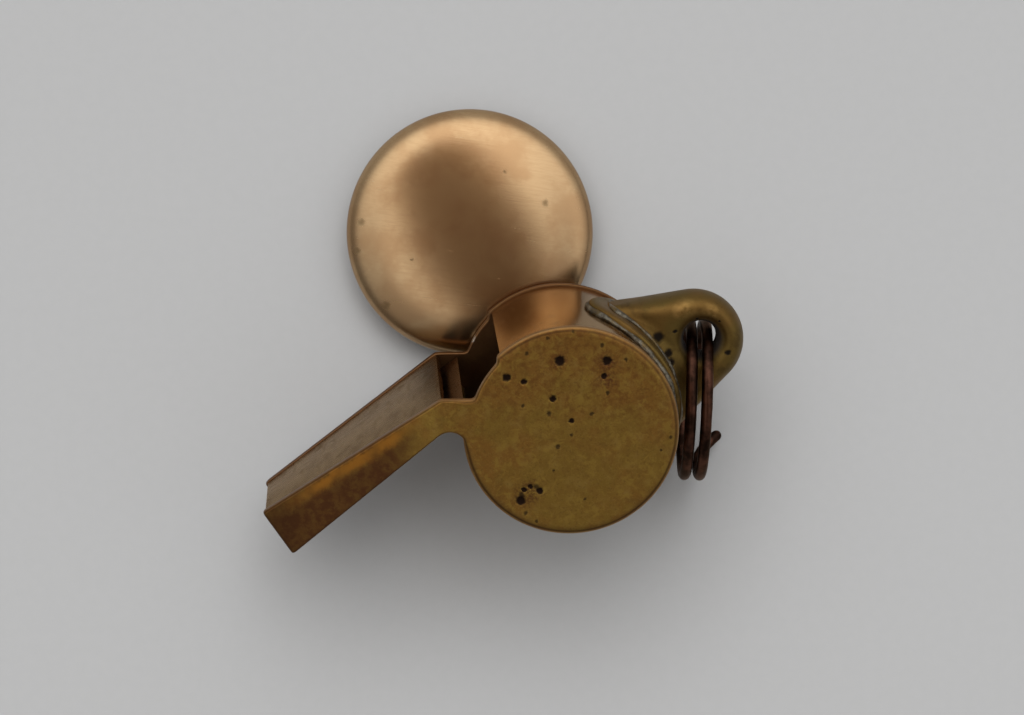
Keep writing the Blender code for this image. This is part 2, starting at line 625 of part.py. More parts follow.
def make_tab(parent, collection, cutters):
    """Strap under the button: a flat round pad, a ramp, and an arm that lies against the far plate."""
    to_plate = FAR_CENTRE - BUTTON_CENTRE
    heading = math.atan2(to_plate.y, to_plate.x)
    frame = Matrix.Translation(BUTTON_CENTRE) @ Matrix.Rotation(heading, 4, "Z")
    half_width = TAB_ARM_WIDTH / 2
    shoulder = math.asin(half_width / TAB_PAD_RADIUS)
    origin = Vector((0.0, 0.0))
    points = arc(origin, TAB_PAD_RADIUS, shoulder, math.tau - shoulder, TURNED_STEPS)
    ramp_start = BUTTON_RADIUS + TAB_RAMP_CLEARANCE
    ramp_end = ramp_start + TAB_RAMP_LENGTH
    arm_end = Vector((ramp_end + TAB_SEAT_LENGTH - half_width, 0.0))
    points += arc(arm_end, half_width, -math.pi / 2, math.pi / 2, 12)
    mesh = outline_mesh("button_tab", points, 0.0, TAB_THICKNESS)
    cage = bmesh.new()
    cage.from_mesh(mesh)
    split_at(cage, (ramp_start, 0.0, 0.0), (1.0, 0.0, 0.0))
    split_at(cage, (ramp_end, 0.0, 0.0), (1.0, 0.0, 0.0))
    for vert in cage.verts:
        if vert.co.x > ramp_end - 0.01 * MM:
            place = frame @ vert.co
            vert.co.z += height_under_plate(place.x, place.y) - SEAM - TAB_THICKNESS
    cage.to_mesh(mesh)
    cage.free()
    tab = add_part("button_tab", mesh, parent, collection, (BRASS, 0.45, 1.0))
    tab.matrix_local = frame
    eye = SHANK_RADIUS + RUNNING_FIT
    sink = SHANK_HEAD_RADIUS + RUNNING_FIT
    sink_depth = SHANK_HEAD_RADIUS - SHANK_RADIUS + TABLE_GAP + RUNNING_FIT
    profile = [
        (0.0, 2 * TAB_THICKNESS),
        (eye, 2 * TAB_THICKNESS),
        (eye, sink_depth),
        (sink, TABLE_GAP),
        (sink, -TAB_THICKNESS),
        (0.0, -TAB_THICKNESS),
    ]
    cutter = add_cutter("tab_eye", profile_mesh("tab_eye", profile), parent, cutters)
    cutter.location = BUTTON_CENTRE
    turn_profile(cutter, SMALL_STEPS)
    combine(tab, cutter, "DIFFERENCE")


def stand_on_origin(root, collection):
    """Move the root so that the origin is on the table, below the middle of the whole object."""
    bpy.context.view_layer.update()
    depsgraph = bpy.context.evaluated_depsgraph_get()
    corners = []
    for part in collection.objects:
        if part.type == "MESH":
            shown = part.evaluated_get(depsgraph)
            corners += [shown.matrix_world @ vert.co for vert in shown.data.vertices]
    low = [min(corner[i] for corner in corners) for i in range(3)]
    high = [max(corner[i] for corner in corners) for i in range(3)]
    root.location = (-(low[0] + high[0]) / 2, -(low[1] + high[1]) / 2, -low[2])
    bpy.context.view_layer.update()


def main():
    clear_scene()
    parts = new_collection("police_whistle")
    cutters = new_collection("cutters")
    root = new_empty("whistle_on_table", None, parts, Matrix.Identity(4))
    whistle = new_empty("whistle_frame", root, parts, WHISTLE_FRAME)
    make_side_plate("far_side_plate", 0.0, 1, whistle, parts)
    make_side_plate("near_side_plate", BARREL_WIDTH - PLATE_THICKNESS, -1, whistle, parts)
    make_band(whistle, parts)
    make_mouthpiece(whistle, parts)
    make_pea(whistle, parts)
    make_loop(whistle, parts, cutters)
    make_ring(whistle, parts)
    make_button(root, parts)
    make_tab(root, parts, cutters)
    stand_on_origin(root, parts)


main()
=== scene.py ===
import json
import math

import bmesh
import bpy
import numpy as np
from mathutils import Matrix, Vector


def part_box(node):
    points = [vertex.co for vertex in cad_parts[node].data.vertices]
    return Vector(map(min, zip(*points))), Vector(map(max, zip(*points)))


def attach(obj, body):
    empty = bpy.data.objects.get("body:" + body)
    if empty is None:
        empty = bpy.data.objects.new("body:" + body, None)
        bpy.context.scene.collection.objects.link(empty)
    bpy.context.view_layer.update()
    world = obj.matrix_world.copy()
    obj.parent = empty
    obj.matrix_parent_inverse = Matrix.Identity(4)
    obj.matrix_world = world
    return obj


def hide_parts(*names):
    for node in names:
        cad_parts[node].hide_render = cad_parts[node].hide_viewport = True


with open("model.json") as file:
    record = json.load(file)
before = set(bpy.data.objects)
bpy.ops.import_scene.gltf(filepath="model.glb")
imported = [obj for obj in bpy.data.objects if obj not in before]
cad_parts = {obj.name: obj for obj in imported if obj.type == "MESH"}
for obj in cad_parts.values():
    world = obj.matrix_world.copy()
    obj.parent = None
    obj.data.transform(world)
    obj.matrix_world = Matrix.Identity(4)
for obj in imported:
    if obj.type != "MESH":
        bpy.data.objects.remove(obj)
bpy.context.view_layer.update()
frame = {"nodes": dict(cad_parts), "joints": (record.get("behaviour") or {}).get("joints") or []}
mm = 0.001
joints = {joint["name"]: joint for joint in frame["joints"]}
print("frame loaded,", len(frame["nodes"]), "nodes")


# the whistle leans about a level axis; its own z runs along the barrel from the far face (0) to the near one
lie = {"lean": 15.8, "heading": 12.0, "middle": 8.9}  # degrees, degrees, mm

heading = math.radians(lie["heading"])
levelAxis = Vector((math.cos(heading), math.sin(heading), 0.0))
whistleTurn = np.array(Matrix.Rotation(math.radians(lie["lean"]), 3, levelAxis))
whistleStart = np.array(joints["pea_roll"]["pos_m"]) / mm - lie["middle"] * whistleTurn[:, 2]
buttonMiddle = np.array(joints["button_turn"]["pos_m"]) / mm * (1.0, 1.0, 0.0)
ringHole = np.array(joints["ring_swing"]["pos_m"]) / mm


def fromWhistle(points):
    return points @ whistleTurn.T + whistleStart


# numpy helpers, all in millimetres

def smooth(low, high, value):
    # 0 below low, 1 above high, an s-curve between
    t = np.clip((value - low) / (high - low), 0.0, 1.0)
    return t * t * (3 - 2 * t)


def ripple(points, size, seed):
    # sum of nine sine waves in fixed random directions, each about size long, within about -1 to 1
    waves = 9
    draw = np.random.default_rng(seed)
    ways = draw.normal(size=(waves, points.shape[-1]))
    ways *= draw.uniform(0.6, 1.7, (waves, 1)) / np.linalg.norm(ways, axis=1, keepdims=True)
    turns = draw.uniform(0, 2 * np.pi, waves)
    return np.sin(points @ (ways.T * 2 * np.pi / size) + turns).sum(axis=-1) / (waves / 2)


def evenly(points, count):
    # the same open line with count points at equal steps along it
    steps = np.linalg.norm(np.diff(points, axis=0), axis=1)
    along = np.concatenate([[0.0], np.cumsum(steps)])
    at = np.linspace(0.0, along[-1], count)
    return np.stack([np.interp(at, along, points[:, k]) for k in range(points.shape[1])], axis=1)


def softened(values, sigma):
    # values round a closed line, averaged with a bell curve of sigma samples
    reach = int(3 * sigma) + 1
    shifts = np.arange(-reach, reach + 1)
    weights = np.exp(-0.5 * (shifts / sigma) ** 2)
    weights /= weights.sum()
    return sum(w * np.roll(values, s, axis=0) for w, s in zip(weights, shifts))


def arcLine(centre, radius, first, last, count=160):
    angle = np.linspace(first, last, count)
    return np.asarray(centre) + radius * np.stack([np.cos(angle), np.sin(angle)], axis=1)


def tangentAngle(point, centre, radius, side):
    # where a line from point touches a circle, as an angle round its centre
    away = point - centre
    return math.atan2(away[1], away[0]) + side * math.acos(radius / np.linalg.norm(away))


def roundedBox(low, high, corner):
    # closed anticlockwise line of a rectangle with round corners
    x0, y0 = np.add(low, corner)
    x1, y1 = np.subtract(high, corner)
    middles = [(x1, y1), (x0, y1), (x0, y0), (x1, y0)]
    quarter = np.pi / 2
    parts = [arcLine(m, corner, k * quarter, (k + 1) * quarter, count=6) for k, m in enumerate(middles)]
    return np.concatenate(parts)


def gridQuads(rows, columns, first=0, closeRows=False, closeColumns=False):
    # corner numbers of the quads of a grid whose points are numbered row by row
    down = np.arange(rows if closeRows else rows - 1)
    across = np.arange(columns if closeColumns else columns - 1)
    r, c = np.meshgrid(down, across, indexing="ij")
    r2 = (r + 1) % rows
    c2 = (c + 1) % columns
    corners = [r * columns + c, r * columns + c2, r2 * columns + c2, r2 * columns + c]
    return np.stack(corners, axis=-1).reshape(-1, 4) + first


def ringQuads(firstRing, secondRing):
    # quads between two closed rings of point numbers
    return np.stack([firstRing, np.roll(firstRing, -1), np.roll(secondRing, -1), secondRing], axis=1)


def turned(profile, steps):
    # (radius, height) points carried round the z axis
    angle = np.linspace(0, 2 * np.pi, steps, endpoint=False)[:, None]
    r, z = profile[:, 0], profile[:, 1]
    points = np.stack([r * np.cos(angle), r * np.sin(angle), z + 0 * angle], axis=-1)
    return points.reshape(-1, 3), gridQuads(steps, len(profile), closeRows=True)


def carried(rows):
    # rows of profile points along a path; each end row is squeezed onto its own middle, which closes the end
    first = rows[:1] * 0 + rows[:1].mean(axis=1, keepdims=True)
    last = rows[-1:] * 0 + rows[-1:].mean(axis=1, keepdims=True)
    rows = np.concatenate([first, rows, last])
    return rows.reshape(-1, 3), gridQuads(len(rows), rows.shape[1], closeColumns=True)


def tube(path, radius, side, sides):
    # circle of changing radius carried along a path; side is a direction that its frame keeps to
    along = np.gradient(path, axis=0)
    along /= np.linalg.norm(along, axis=1, keepdims=True)
    across = side - (along @ side)[:, None] * along
    across /= np.linalg.norm(across, axis=1, keepdims=True)
    other = np.cross(along, across)
    angle = np.linspace(0, 2 * np.pi, sides, endpoint=False)
    circle = np.cos(angle)[None, :, None] * across[:, None] + np.sin(angle)[None, :, None] * other[:, None]
    return path[:, None] + radius[:, None, None] * circle


weld = {"merge": 2e-7, "dissolve": 1e-8}  # metres


def addPiece(name, points, quads, body, nodes, finish, sharp, marks=None):
    # points are in millimetres in the shared frame; seams and poles are merged,
    # faces turned outward, and edges over sharp degrees stay hard
    mesh = bpy.data.meshes.new(name)
    mesh.from_pydata((points * mm).tolist(), [], quads.tolist())
    for mark, values in (marks or {}).items():
        mesh.attributes.new(mark, "FLOAT", "POINT").data.foreach_set("value", values.astype(np.float32))
    shell = bmesh.new()
    shell.from_mesh(mesh)
    bmesh.ops.remove_doubles(shell, verts=shell.verts, dist=weld["merge"])
    bmesh.ops.dissolve_degenerate(shell, edges=shell.edges, dist=weld["dissolve"])
    bmesh.ops.recalc_face_normals(shell, faces=shell.faces)
    if shell.calc_volume(signed=True) < 0.0:
        bmesh.ops.reverse_faces(shell, faces=shell.faces)
    shell.to_mesh(mesh)
    shell.free()
    mesh.shade_smooth()
    mesh.set_sharp_from_angle(angle=math.radians(sharp))
    mesh.materials.append(finish)
    piece = bpy.data.objects.new(name, mesh)
    bpy.context.scene.collection.objects.link(piece)
    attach(piece, body)
    if nodes:
        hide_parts(*nodes)


# shader helpers

class Wire:
    # a socket in a node tree; sums and products of wires add Math nodes
    def __init__(self, tree, socket):
        self.tree = tree
        self.socket = socket

    def node(self, kind, settings, sockets, output=0):
        made = self.tree.nodes.new(kind)
        for key, value in settings.items():
            setattr(made, key, value)
        for key, value in sockets.items():
            if isinstance(value, Wire):
                self.tree.links.new(value.socket, made.inputs[key])
            else:
                made.inputs[key].default_value = value
        return Wire(self.tree, made.outputs[output])

    def maths(self, operation, first, second):
        return self.node("ShaderNodeMath", {"operation": operation}, {0: first, 1: second})

    def vectorMaths(self, operation, second, output=0):
        return self.node("ShaderNodeVectorMath", {"operation": operation}, {0: self, 1: second}, output)

    def __add__(self, other):
        return self.maths("ADD", self, other)

    def __radd__(self, other):
        return self.maths("ADD", other, self)

    def __sub__(self, other):
        return self.maths("SUBTRACT", self, other)

    def __rsub__(self, other):
        return self.maths("SUBTRACT", other, self)

    def __mul__(self, other):
        return self.maths("MULTIPLY", self, other)

    def __rmul__(self, other):
        return self.maths("MULTIPLY", other, self)

    def __truediv__(self, other):
        return self.maths("DIVIDE", self, other)

    def __pow__(self, other):
        return self.maths("POWER", self, other)


def newFinish(name):
    material = bpy.data.materials.new(name)
    material.use_nodes = True
    tree = material.node_tree
    shader = tree.nodes["Principled BSDF"]
    place = Wire(tree, tree.nodes.new("ShaderNodeTexCoord").outputs["Object"])
    return material, shader, place


def feed(shader, sockets):
    for key, value in sockets.items():
        if isinstance(value, Wire):
            value.tree.links.new(value.socket, shader.inputs[key])
        else:
            shader.inputs[key].default_value = value


def inMillimetres(place, turn=np.eye(3), middle=(0.0, 0.0, 0.0)):
    # object coordinates to millimetres on axes turned by turn, from middle
    back = Matrix(np.asarray(turn).T.tolist())
    shift = back @ Vector(middle)
    sockets = {"Location": tuple(-shift), "Rotation": tuple(back.to_euler()), "Scale": (1 / mm,) * 3}
    return place.node("ShaderNodeMapping", {"vector_type": "POINT"}, {"Vector": place, **sockets})


def stretched(place, scale):
    return place.vectorMaths("MULTIPLY", scale)


def noise(place, scale, detail=3.0, rough=0.55, warp=0.0):
    sockets = {"Vector": place, "Scale": scale, "Detail": detail, "Roughness": rough, "Distortion": warp}
    return place.node("ShaderNodeTexNoise", {}, sockets)


def step(value, low, high):
    # 0 below low, 1 above high, an s-curve between
    sockets = {"Value": value, "From Min": low, "From Max": high}
    return value.node("ShaderNodeMapRange", {"interpolation_type": "SMOOTHSTEP"}, sockets)


def between(value, start, end):
    # rises over start and falls over end
    return step(value, *start) * (1.0 - step(value, *end))


def tint(factor, first, second):
    # sockets 6 and 7 and output 2 are the Mix node's colours
    settings = {"data_type": "RGBA", "blend_type": "MIX"}
    opaque = [c if isinstance(c, Wire) else (*c, 1.0) for c in (first, second)]
    return factor.node("ShaderNodeMix", settings, {0: factor, 6: opaque[0], 7: opaque[1]}, 2)


def coats(colour, tones, layers):
    # (mask, tone) layers laid over a colour one after another
    for mask, tone in layers:
        colour = tint(mask, colour, tones[tone])
    return colour


def larger(first, second):
    return first.maths("MAXIMUM", first, second)


def bumped(height, depth):
    # depth in millimetres for a height of 1
    return height.node("ShaderNodeBump", {}, {"Height": height, "Distance": depth * mm, "Strength": 1.0})


def feedMetal(shader, colour, rough, height, relief, metal=1.0):
    normal = bumped(height, relief)
    feed(shader, {"Base Color": colour, "Roughness": rough, "Metallic": metal, "Normal": normal})


def distance(x, y):
    return (x * x + y * y) ** 0.5


def axes(place):
    return [place.node("ShaderNodeSeparateXYZ", {}, {0: place}, k) for k in range(3)]


def marked(place, name):
    return place.node("ShaderNodeAttribute", {"attribute_name": name}, {}, 2)  # output 2 is the number


def spotMask(place, spots, edge):
    # largest of the masks of round spots, given as (x, y, radius); edge is how soft their borders are
    flat = stretched(place, (1.0, 1.0, 0.0))
    mask = None
    for x, y, radius in spots:
        away = flat.vectorMaths("DISTANCE", (x, y, 0.0), 1)
        one = step(away / radius, 1.0 + edge, 1.0 - edge)
        mask = one if mask is None else larger(mask, one)
    return mask


def warped(place, scale, amount):
    # coordinates pushed about by noise, which makes round masks irregular
    push = place.node("ShaderNodeTexNoise", {}, {"Vector": place, "Scale": scale, "Detail": 3.0}, 1)
    centred = push.vectorMaths("SUBTRACT", (0.5, 0.5, 0.5))
    return place.vectorMaths("ADD", centred.vectorMaths("MULTIPLY", (amount,) * 3))


# finishes

mouthSlope = math.radians(35.7)  # of the mouthpiece's top, in the whistle's x and y
topAlong = -np.array([math.cos(mouthSlope), math.sin(mouthSlope)])
topInward = np.array([math.sin(mouthSlope), -math.cos(mouthSlope)])

# side plates: a disc, a neck and a cheek that is folded inward
plate = {
    "radius": 10.25, "thickness": 0.9, "windowCut": 0.5, "cutSlant": 2.0, "lipAngle": 132.5,
    "neckLength": 2.15, "neckHeight": 3.2, "neckStart": -10.2, "notchRadius": 1.6, "notchOffset": 1.25,
    "mouthLength": 20.95, "tipHeight": 5.0, "tipSlope": 54.5, "cheekInset": 3.9, "foldSoftness": 0.35,
    "cornerSoftness": 0.22, "spacing": 0.04, "rightEnd": 30.0,
    "discShoulder": (1.0, 0.5), "cheekShoulder": (0.32, 0.3), "shoulderSteps": 10, "shoulderBlend": 4.0,
    "innerRound": 0.12, "waviness": 0.012, "waveSize": 7.0, "calmEdge": 0.5,
    "pitDepth": 0.12, "fullPit": 0.3, "pitWall": (1.15, 0.4),
}
barrelWidth = 2 * lie["middle"]
foldX = -(plate["radius"] + plate["neckLength"])
neckCorner = np.array([foldX, plate["neckHeight"]])
notchMiddle = np.array([-(plate["radius"] + plate["notchOffset"]), -plate["notchRadius"]])
tipTop = neckCorner + plate["mouthLength"] * topAlong
tipSlope = math.radians(plate["tipSlope"])
tipBottom = tipTop + plate["tipHeight"] * np.array([math.cos(tipSlope), -math.sin(tipSlope)])
cheekRate = plate["cheekInset"] / (foldX - tipTop[0])

# corrosion pits of the near plate: x, y and radius on the whistle's axes
pits = [
    (-1.20, 7.00, 0.50), (3.22, 6.97, 0.46), (2.96, 5.51, 0.28), (-6.17, 5.39, 0.40), (-4.57, 4.99, 0.30),
    (-1.82, 3.30, 0.34), (-4.64, 2.64, 0.17), (-2.18, 1.83, 0.23), (1.89, 1.79, 0.21), (-0.04, 1.07, 0.26),
    (0.02, -0.26, 0.16), (3.32, 3.84, 0.20), (5.01, 7.05, 0.21), (2.73, 8.48, 0.19), (-1.34, -1.44, 0.23),
    (-4.75, -6.72, 0.45), (-4.26, -7.98, 0.20), (-3.20, -8.79, 0.18), (-2.95, -5.79, 0.34),
    (-4.47, -5.68, 0.26), (-3.85, -5.36, 0.25), (-3.35, -5.42, 0.24), (-4.72, -6.15, 0.24),
    (-4.31, 7.71, 0.17), (-2.35, 9.20, 0.15), (0.03, 9.81, 0.17), (9.43, -0.60, 0.15),
    (1.35, -6.64, 0.13), (-1.69, -3.76, 0.12), (8.51, -1.83, 0.12),
]
glintSpots = [(-8.93, 4.75, 0.42)]  # painted glint: a bright metal spot on the far plate's edge, in the window
stains = [(3.2, 6.7, 0.9), (3.3, 5.2, 0.9), (-4.1, -6.0, 1.2), (-1.2, 7.0, 0.7)]

plateBrass = {
    "olive": (0.262, 0.158, 0.033), "orange": (0.266, 0.134, 0.031), "pale": (0.330, 0.212, 0.056),
    "dull": (0.165, 0.090, 0.024), "fleck": (0.185, 0.080, 0.022), "gold": (0.345, 0.218, 0.045),
    "rim": (0.145, 0.066, 0.023), "cheek": (0.095, 0.038, 0.015), "groove": (0.045, 0.020, 0.010),
    # the orange streak tone paints a highlight
    "edge": (0.34, 0.195, 0.080), "highlightStreak": (0.40, 0.165, 0.024), "pit": (0.022, 0.012, 0.008),
    # the pale metal tone below paints a glint on the far plate
    "smallPit": (0.060, 0.036, 0.014), "stain": (0.085, 0.024, 0.018), "paintedGlint": (0.70, 0.66, 0.58),
    # the far rim tone paints shade
    "farRimShade": (0.150, 0.074, 0.036),
}
# where marks fade in, in mm: out from the disc's middle, left along the cheek,
# below the cheek's top edge and up the barrel
plateMarks = {
    "outer": (6.4, 9.3), "cheek": (13.0, 17.5), "tip": (24.0, 29.0), "streakEnd": (28.0, 23.5),
    "brownBand": (0.5, 2.0), "streakTop": (0.05, 0.45), "streakBottom": (1.6, 0.6), "face": (16.9, 17.3),
    "largePit": 0.25, "rough": 0.36, "relief": 0.035,
}


def plateFinish(name, pitted):
    # the near plate is pitted; the far one has its rim and inner face darkened with painted shade
    tones, at = plateBrass, plateMarks
    material, shader, place = newFinish(name)
    local = inMillimetres(place, whistleTurn, whistleStart)
    x, y, z = axes(local)
    wide = noise(local, 0.17, 2.0)
    patch = noise(local, 0.75, 5.0, 0.6)
    grain = noise(local, 4.2, 4.0, 0.6)
    colour = tint(step(wide + (y - 1.0) * 0.014, 0.44, 0.62), tones["olive"], tones["orange"])
    outer = step(distance(x, y), *at["outer"]) * step(noise(local, 0.3, 3.0), 0.40, 0.58)
    flecks = step(noise(local, 1.7, 5.0, 0.70), 0.46, 0.62) * (0.30 + 0.70 * step(y, -3.0, 7.0))
    colour = coats(colour, tones, [
        (outer * 0.8, "orange"),
        (step(patch, 0.50, 0.72) * 0.55, "pale"),
        (step(noise(local, 0.42, 4.0, 0.6, 0.6), 0.56, 0.70) * 0.45, "dull"),
        (step(grain, 0.52, 0.70) * 0.55, "dull"),
        (step(noise(local, 7.0, 2.0), 0.54, 0.66) * 0.4, "pale"),
        (flecks * 0.75, "fleck"),
        (step(noise(local, 1.1, 5.0, 0.70, 0.5), 0.50, 0.64) * 0.6, "gold"),
    ])
    # the cheek is browner and darker further below its top edge, with a painted highlight, an orange streak,
    # just below that edge
    left = 0.0 - x
    onCheek = step(left, *at["cheek"])
    below = (x - foldX) * topInward[0] + (y - plate["neckHeight"]) * topInward[1]  # mm below the top edge
    below = below + 1.3 * (noise(local, 0.8, 5.0, 0.65) - 0.5)  # with a ragged border
    blotches = step(noise(local, 1.2, 5.0, 0.7), 0.40, 0.60)
    brown = 0.55 + 0.25 * step(below, *at["brownBand"]) + 0.20 * blotches
    streaky = step(noise(stretched(local, (0.35, 0.35, 1.0)), 0.9, 3.0), 0.36, 0.60)
    # painted highlight along the cheek's top edge
    highlightStreak = onCheek * step(below, *at["streakTop"]) * step(below, *at["streakBottom"])
    highlightStreak = highlightStreak * (0.5 + 0.5 * streaky) * step(left, *at["streakEnd"])
    tip = step(left, *at["tip"])
    colour = coats(colour, tones, [(onCheek * brown, "cheek"), (tip * 0.45, "groove"), (highlightStreak * 0.8, "highlightStreak")])
    shoulder = marked(place, "shoulder")
    if pitted:
        # a thin dark line along the shoulder and a rubbed edge outside it
        line = between(shoulder, (0.42, 0.58), (0.66, 0.80))
        colour = coats(colour, tones, [
            (shoulder * (0.5 + 0.4 * step(patch, 0.42, 0.6)), "rim"),
            (line * 0.6, "groove"),
            (step(shoulder, 0.78, 0.95) * (0.7 - 0.5 * onCheek), "edge"),
        ])
    else:
        # painted glint on the far plate's edge, in the window
        glint = spotMask(warped(local, 2.0, 0.5), glintSpots, 0.5)
        # painted shade on the far plate's rim and inner face
        colour = coats(colour, tones, [(shoulder * 0.85, "farRimShade"), (glint, "paintedGlint")])
    rough = at["rough"] + 0.16 * patch
    height = 0.35 * grain + 0.5 * patch
    if pitted:
        ragged = warped(local, 2.2, 0.42)
        stained = spotMask(warped(local, 1.5, 0.9), stains, 0.6) * step(grain, 0.36, 0.62)
        onFace = step(z, *at["face"])
        small = spotMask(ragged, [pit for pit in pits if pit[2] < at["largePit"]], 0.5) * onFace
        deep = spotMask(ragged, [pit for pit in pits if pit[2] >= at["largePit"]], 0.3) * onFace
        colour = coats(colour, tones, [(stained * 0.6, "stain"), (small * 0.9, "smallPit"), (deep, "pit")])
        rough = rough + 0.25 * deep
        height = height - 1.2 * larger(deep, 0.35 * small)
    feedMetal(shader, colour, rough, height, at["relief"])
    return material


loop = {
    "heading": 28.4, "reach": 14.1, "headRadius": 4.9, "holeRadius": 1.6, "holeOffset": 0.7, "foot": 10.85,
    "rootHalfAngle": 41.0, "half": 2.7, "flare": 2.4, "flareHeight": 3.0, "edge": 2.4, "edgePower": 2.2,
    "footFlare": 0.28, "footing": (13.2, 10.9), "taperPower": 2.5, "blend": 5.0, "lineSoftness": 5.0,
    "rays": 300, "raySteps": 56, "waviness": 0.03, "waveSize": 5.0,
}
loopHeading = math.radians(loop["heading"])
loopOut = np.array([math.cos(loopHeading), math.sin(loopHeading)])
holeMiddle = (loop["reach"] + loop["holeOffset"]) * loopOut
rootHalf = math.radians(loop["rootHalfAngle"])
footChord = loop["foot"] * math.sin(rootHalf)
loopBrass = {
    "olive": (0.142, 0.092, 0.026), "gold": (0.165, 0.094, 0.027), "dull": (0.070, 0.042, 0.016),
    # the near-black tone paints the hole's shade; the bright tone also paints highlights
    "pit": (0.024, 0.018, 0.013), "bright": (0.35, 0.210, 0.068), "holeShade": (0.012, 0.008, 0.006),
}
loopPits = [
    (15.53, 5.87, 0.27), (12.44, 9.18, 0.14), (10.35, 8.00, 0.20), (8.75, 7.55, 0.50), (9.75, 5.95, 0.40),
    (9.95, 5.05, 0.42), (14.67, 8.96, 0.12),
]
rubbedHighlights = [(11.4, 10.2, 0.70), (10.7, 10.0, 0.50), (13.7, 9.8, 0.60)]  # worn bright brass on the crown, with painted highlights
# rubbing, with painted highlights, and pits fade in with the height on the barrel; painted shade in the hole
# fades in with the nearness to the hole's middle
loopMarks = {"rubbedHighlights": (9.2, 10.2), "pits": (9.5, 10.5), "holeShade": (2.35, 1.8), "rough": 0.44, "relief": 0.03}


def loopFinish(name, pitted):
    tones, at = loopBrass, loopMarks
    material, shader, place = newFinish(name)
    local = inMillimetres(place, whistleTurn, whistleStart)
    patch = noise(local, 0.6, 5.0, 0.6)
    grain = noise(local, 4.0, 4.0, 0.6)
    colour = tint(step(noise(local, 0.25, 2.0), 0.42, 0.60), tones["olive"], tones["gold"])
    dull = [(step(patch, 0.52, 0.70) * 0.5, "dull"), (step(grain, 0.56, 0.72) * 0.4, "dull")]
    colour = coats(colour, tones, dull)
    rough = at["rough"] + 0.16 * patch
    metal = 1.0
    height = 0.3 * grain + 0.5 * patch
    if pitted:
        x, y, z = axes(local)
        # bright worn brass on the crown, also painted highlights
        worn = spotMask(warped(local, 0.9, 1.1), rubbedHighlights, 0.75) * step(z, *at["rubbedHighlights"])
        worn = worn * step(patch + 0.4 * grain, 0.52, 0.76)
        # painted shade in the hole: a near-black, dull wall
        hole = step(distance(x - holeMiddle[0], y - holeMiddle[1]), *at["holeShade"])
        deep = spotMask(warped(local, 2.0, 0.5), loopPits, 0.5) * step(z, *at["pits"])
        colour = coats(colour, tones, [(worn * 0.6, "bright"), (hole, "holeShade"), (deep, "pit")])
        rough = rough - 0.12 * worn + 0.4 * hole + 0.3 * deep
        metal = 1.0 - hole
        height = height - 1.2 * deep
    feedMetal(shader, colour, rough, height, at["relief"], metal)
    return material


# wear 0 is whole plating, 1 mostly worn to the brass; gloss is the least roughness
platings = {
    "barrel": {
        "bright": (0.265, 0.190, 0.112), "warm": (0.215, 0.138, 0.072), "brown": (0.12, 0.070, 0.044),
        "wear": 0.05, "gloss": 0.13,
    },
    "mouth": {
        "bright": (0.198, 0.136, 0.070), "warm": (0.150, 0.094, 0.044), "brown": (0.112, 0.068, 0.033),
        "wear": 0.55, "gloss": 0.22,
    },
    "block": {
        "bright": (0.15, 0.100, 0.080), "warm": (0.10, 0.062, 0.046), "brown": (0.05, 0.030, 0.022),
        "wear": 0.4, "gloss": 0.25,
    },
}
# where the browner window end starts along the mouthpiece, and how far from the axis the wall's inside lies
platingMarks = {
    # the near-black tone paints shade inside the barrel
    "windowEnd": (12.5, 8.5), "inside": (9.97, 9.80), "insideShade": (0.012, 0.010, 0.008), "relief": 0.012,
    "specularTint": (1.0, 0.85, 0.70, 1.0),
}


def platingFinish(name, tones):
    at, wear = platingMarks, tones["wear"]
    material, shader, place = newFinish(name)
    local = inMillimetres(place, whistleTurn, whistleStart)
    worn = step(noise(local, 0.55, 6.0, 0.62, 0.4), 0.74 - 0.28 * wear, 0.80 - 0.16 * wear)
    rub = step(noise(stretched(local, (1.0, 1.0, 0.35)), 1.1, 4.0, 0.6), 0.52, 0.70)
    colour = tint(rub * (0.12 + 0.4 * wear), tones["bright"], tones["warm"])
    fine = noise(local, 6.0, 3.0)
    # wear goes in soft bands across the mouthpiece, stronger on a worn plate
    x, y, z = axes(local)
    down = x * topAlong[0] + y * topAlong[1]
    along = place.node("ShaderNodeCombineXYZ", {}, {"X": down, "Y": z * 0.45})
    bands = step(noise(along, 0.62, 6.0, 0.66), 0.36, 0.66)
    # fine lines rubbed along the mouthpiece
    lengthwise = place.node("ShaderNodeCombineXYZ", {}, {"X": down * 0.12, "Y": z * 2.4})
    lines = step(noise(lengthwise, 2.2, 4.0, 0.65), 0.46, 0.66)
    colour = coats(colour, tones, [
        (worn * 0.8, "brown"),
        (step(down, *at["windowEnd"]) * wear, "brown"),
        (bands * min(1.0, 1.5 * wear), "brown"),
        (lines * (0.6 * wear), "warm"),
    ])
    # painted shade: the wall inside the barrel is near black
    inside = step(distance(x, y), *at["inside"])
    colour = tint(inside * 0.92, colour, at["insideShade"])
    rough = tones["gloss"] + 0.10 * rub + 0.22 * worn + 0.05 * fine + 0.35 * inside + 0.15 * wear * lines
    height = 0.25 * fine - 0.6 * worn - 0.5 * wear * lines
    feedMetal(shader, colour, rough, height, at["relief"])
    feed(shader, {"Specular Tint": at["specularTint"]})
    return material


gilt = {
    "bright": (0.455, 0.305, 0.164), "deep": (0.390, 0.240, 0.122), "spot": (0.09, 0.065, 0.026),
    "brushAngle": 0.15, "rough": 0.16, "relief": 0.006,
}
giltSpots = [
    (7.56, 2.82, 0.26), (-10.83, 0.92, 0.30), (-8.33, -7.37, 0.35), (-11.3, -1.88, 0.28), (-5.73, -2.88, 0.14),
    (3.56, 5.92, 0.15),
]


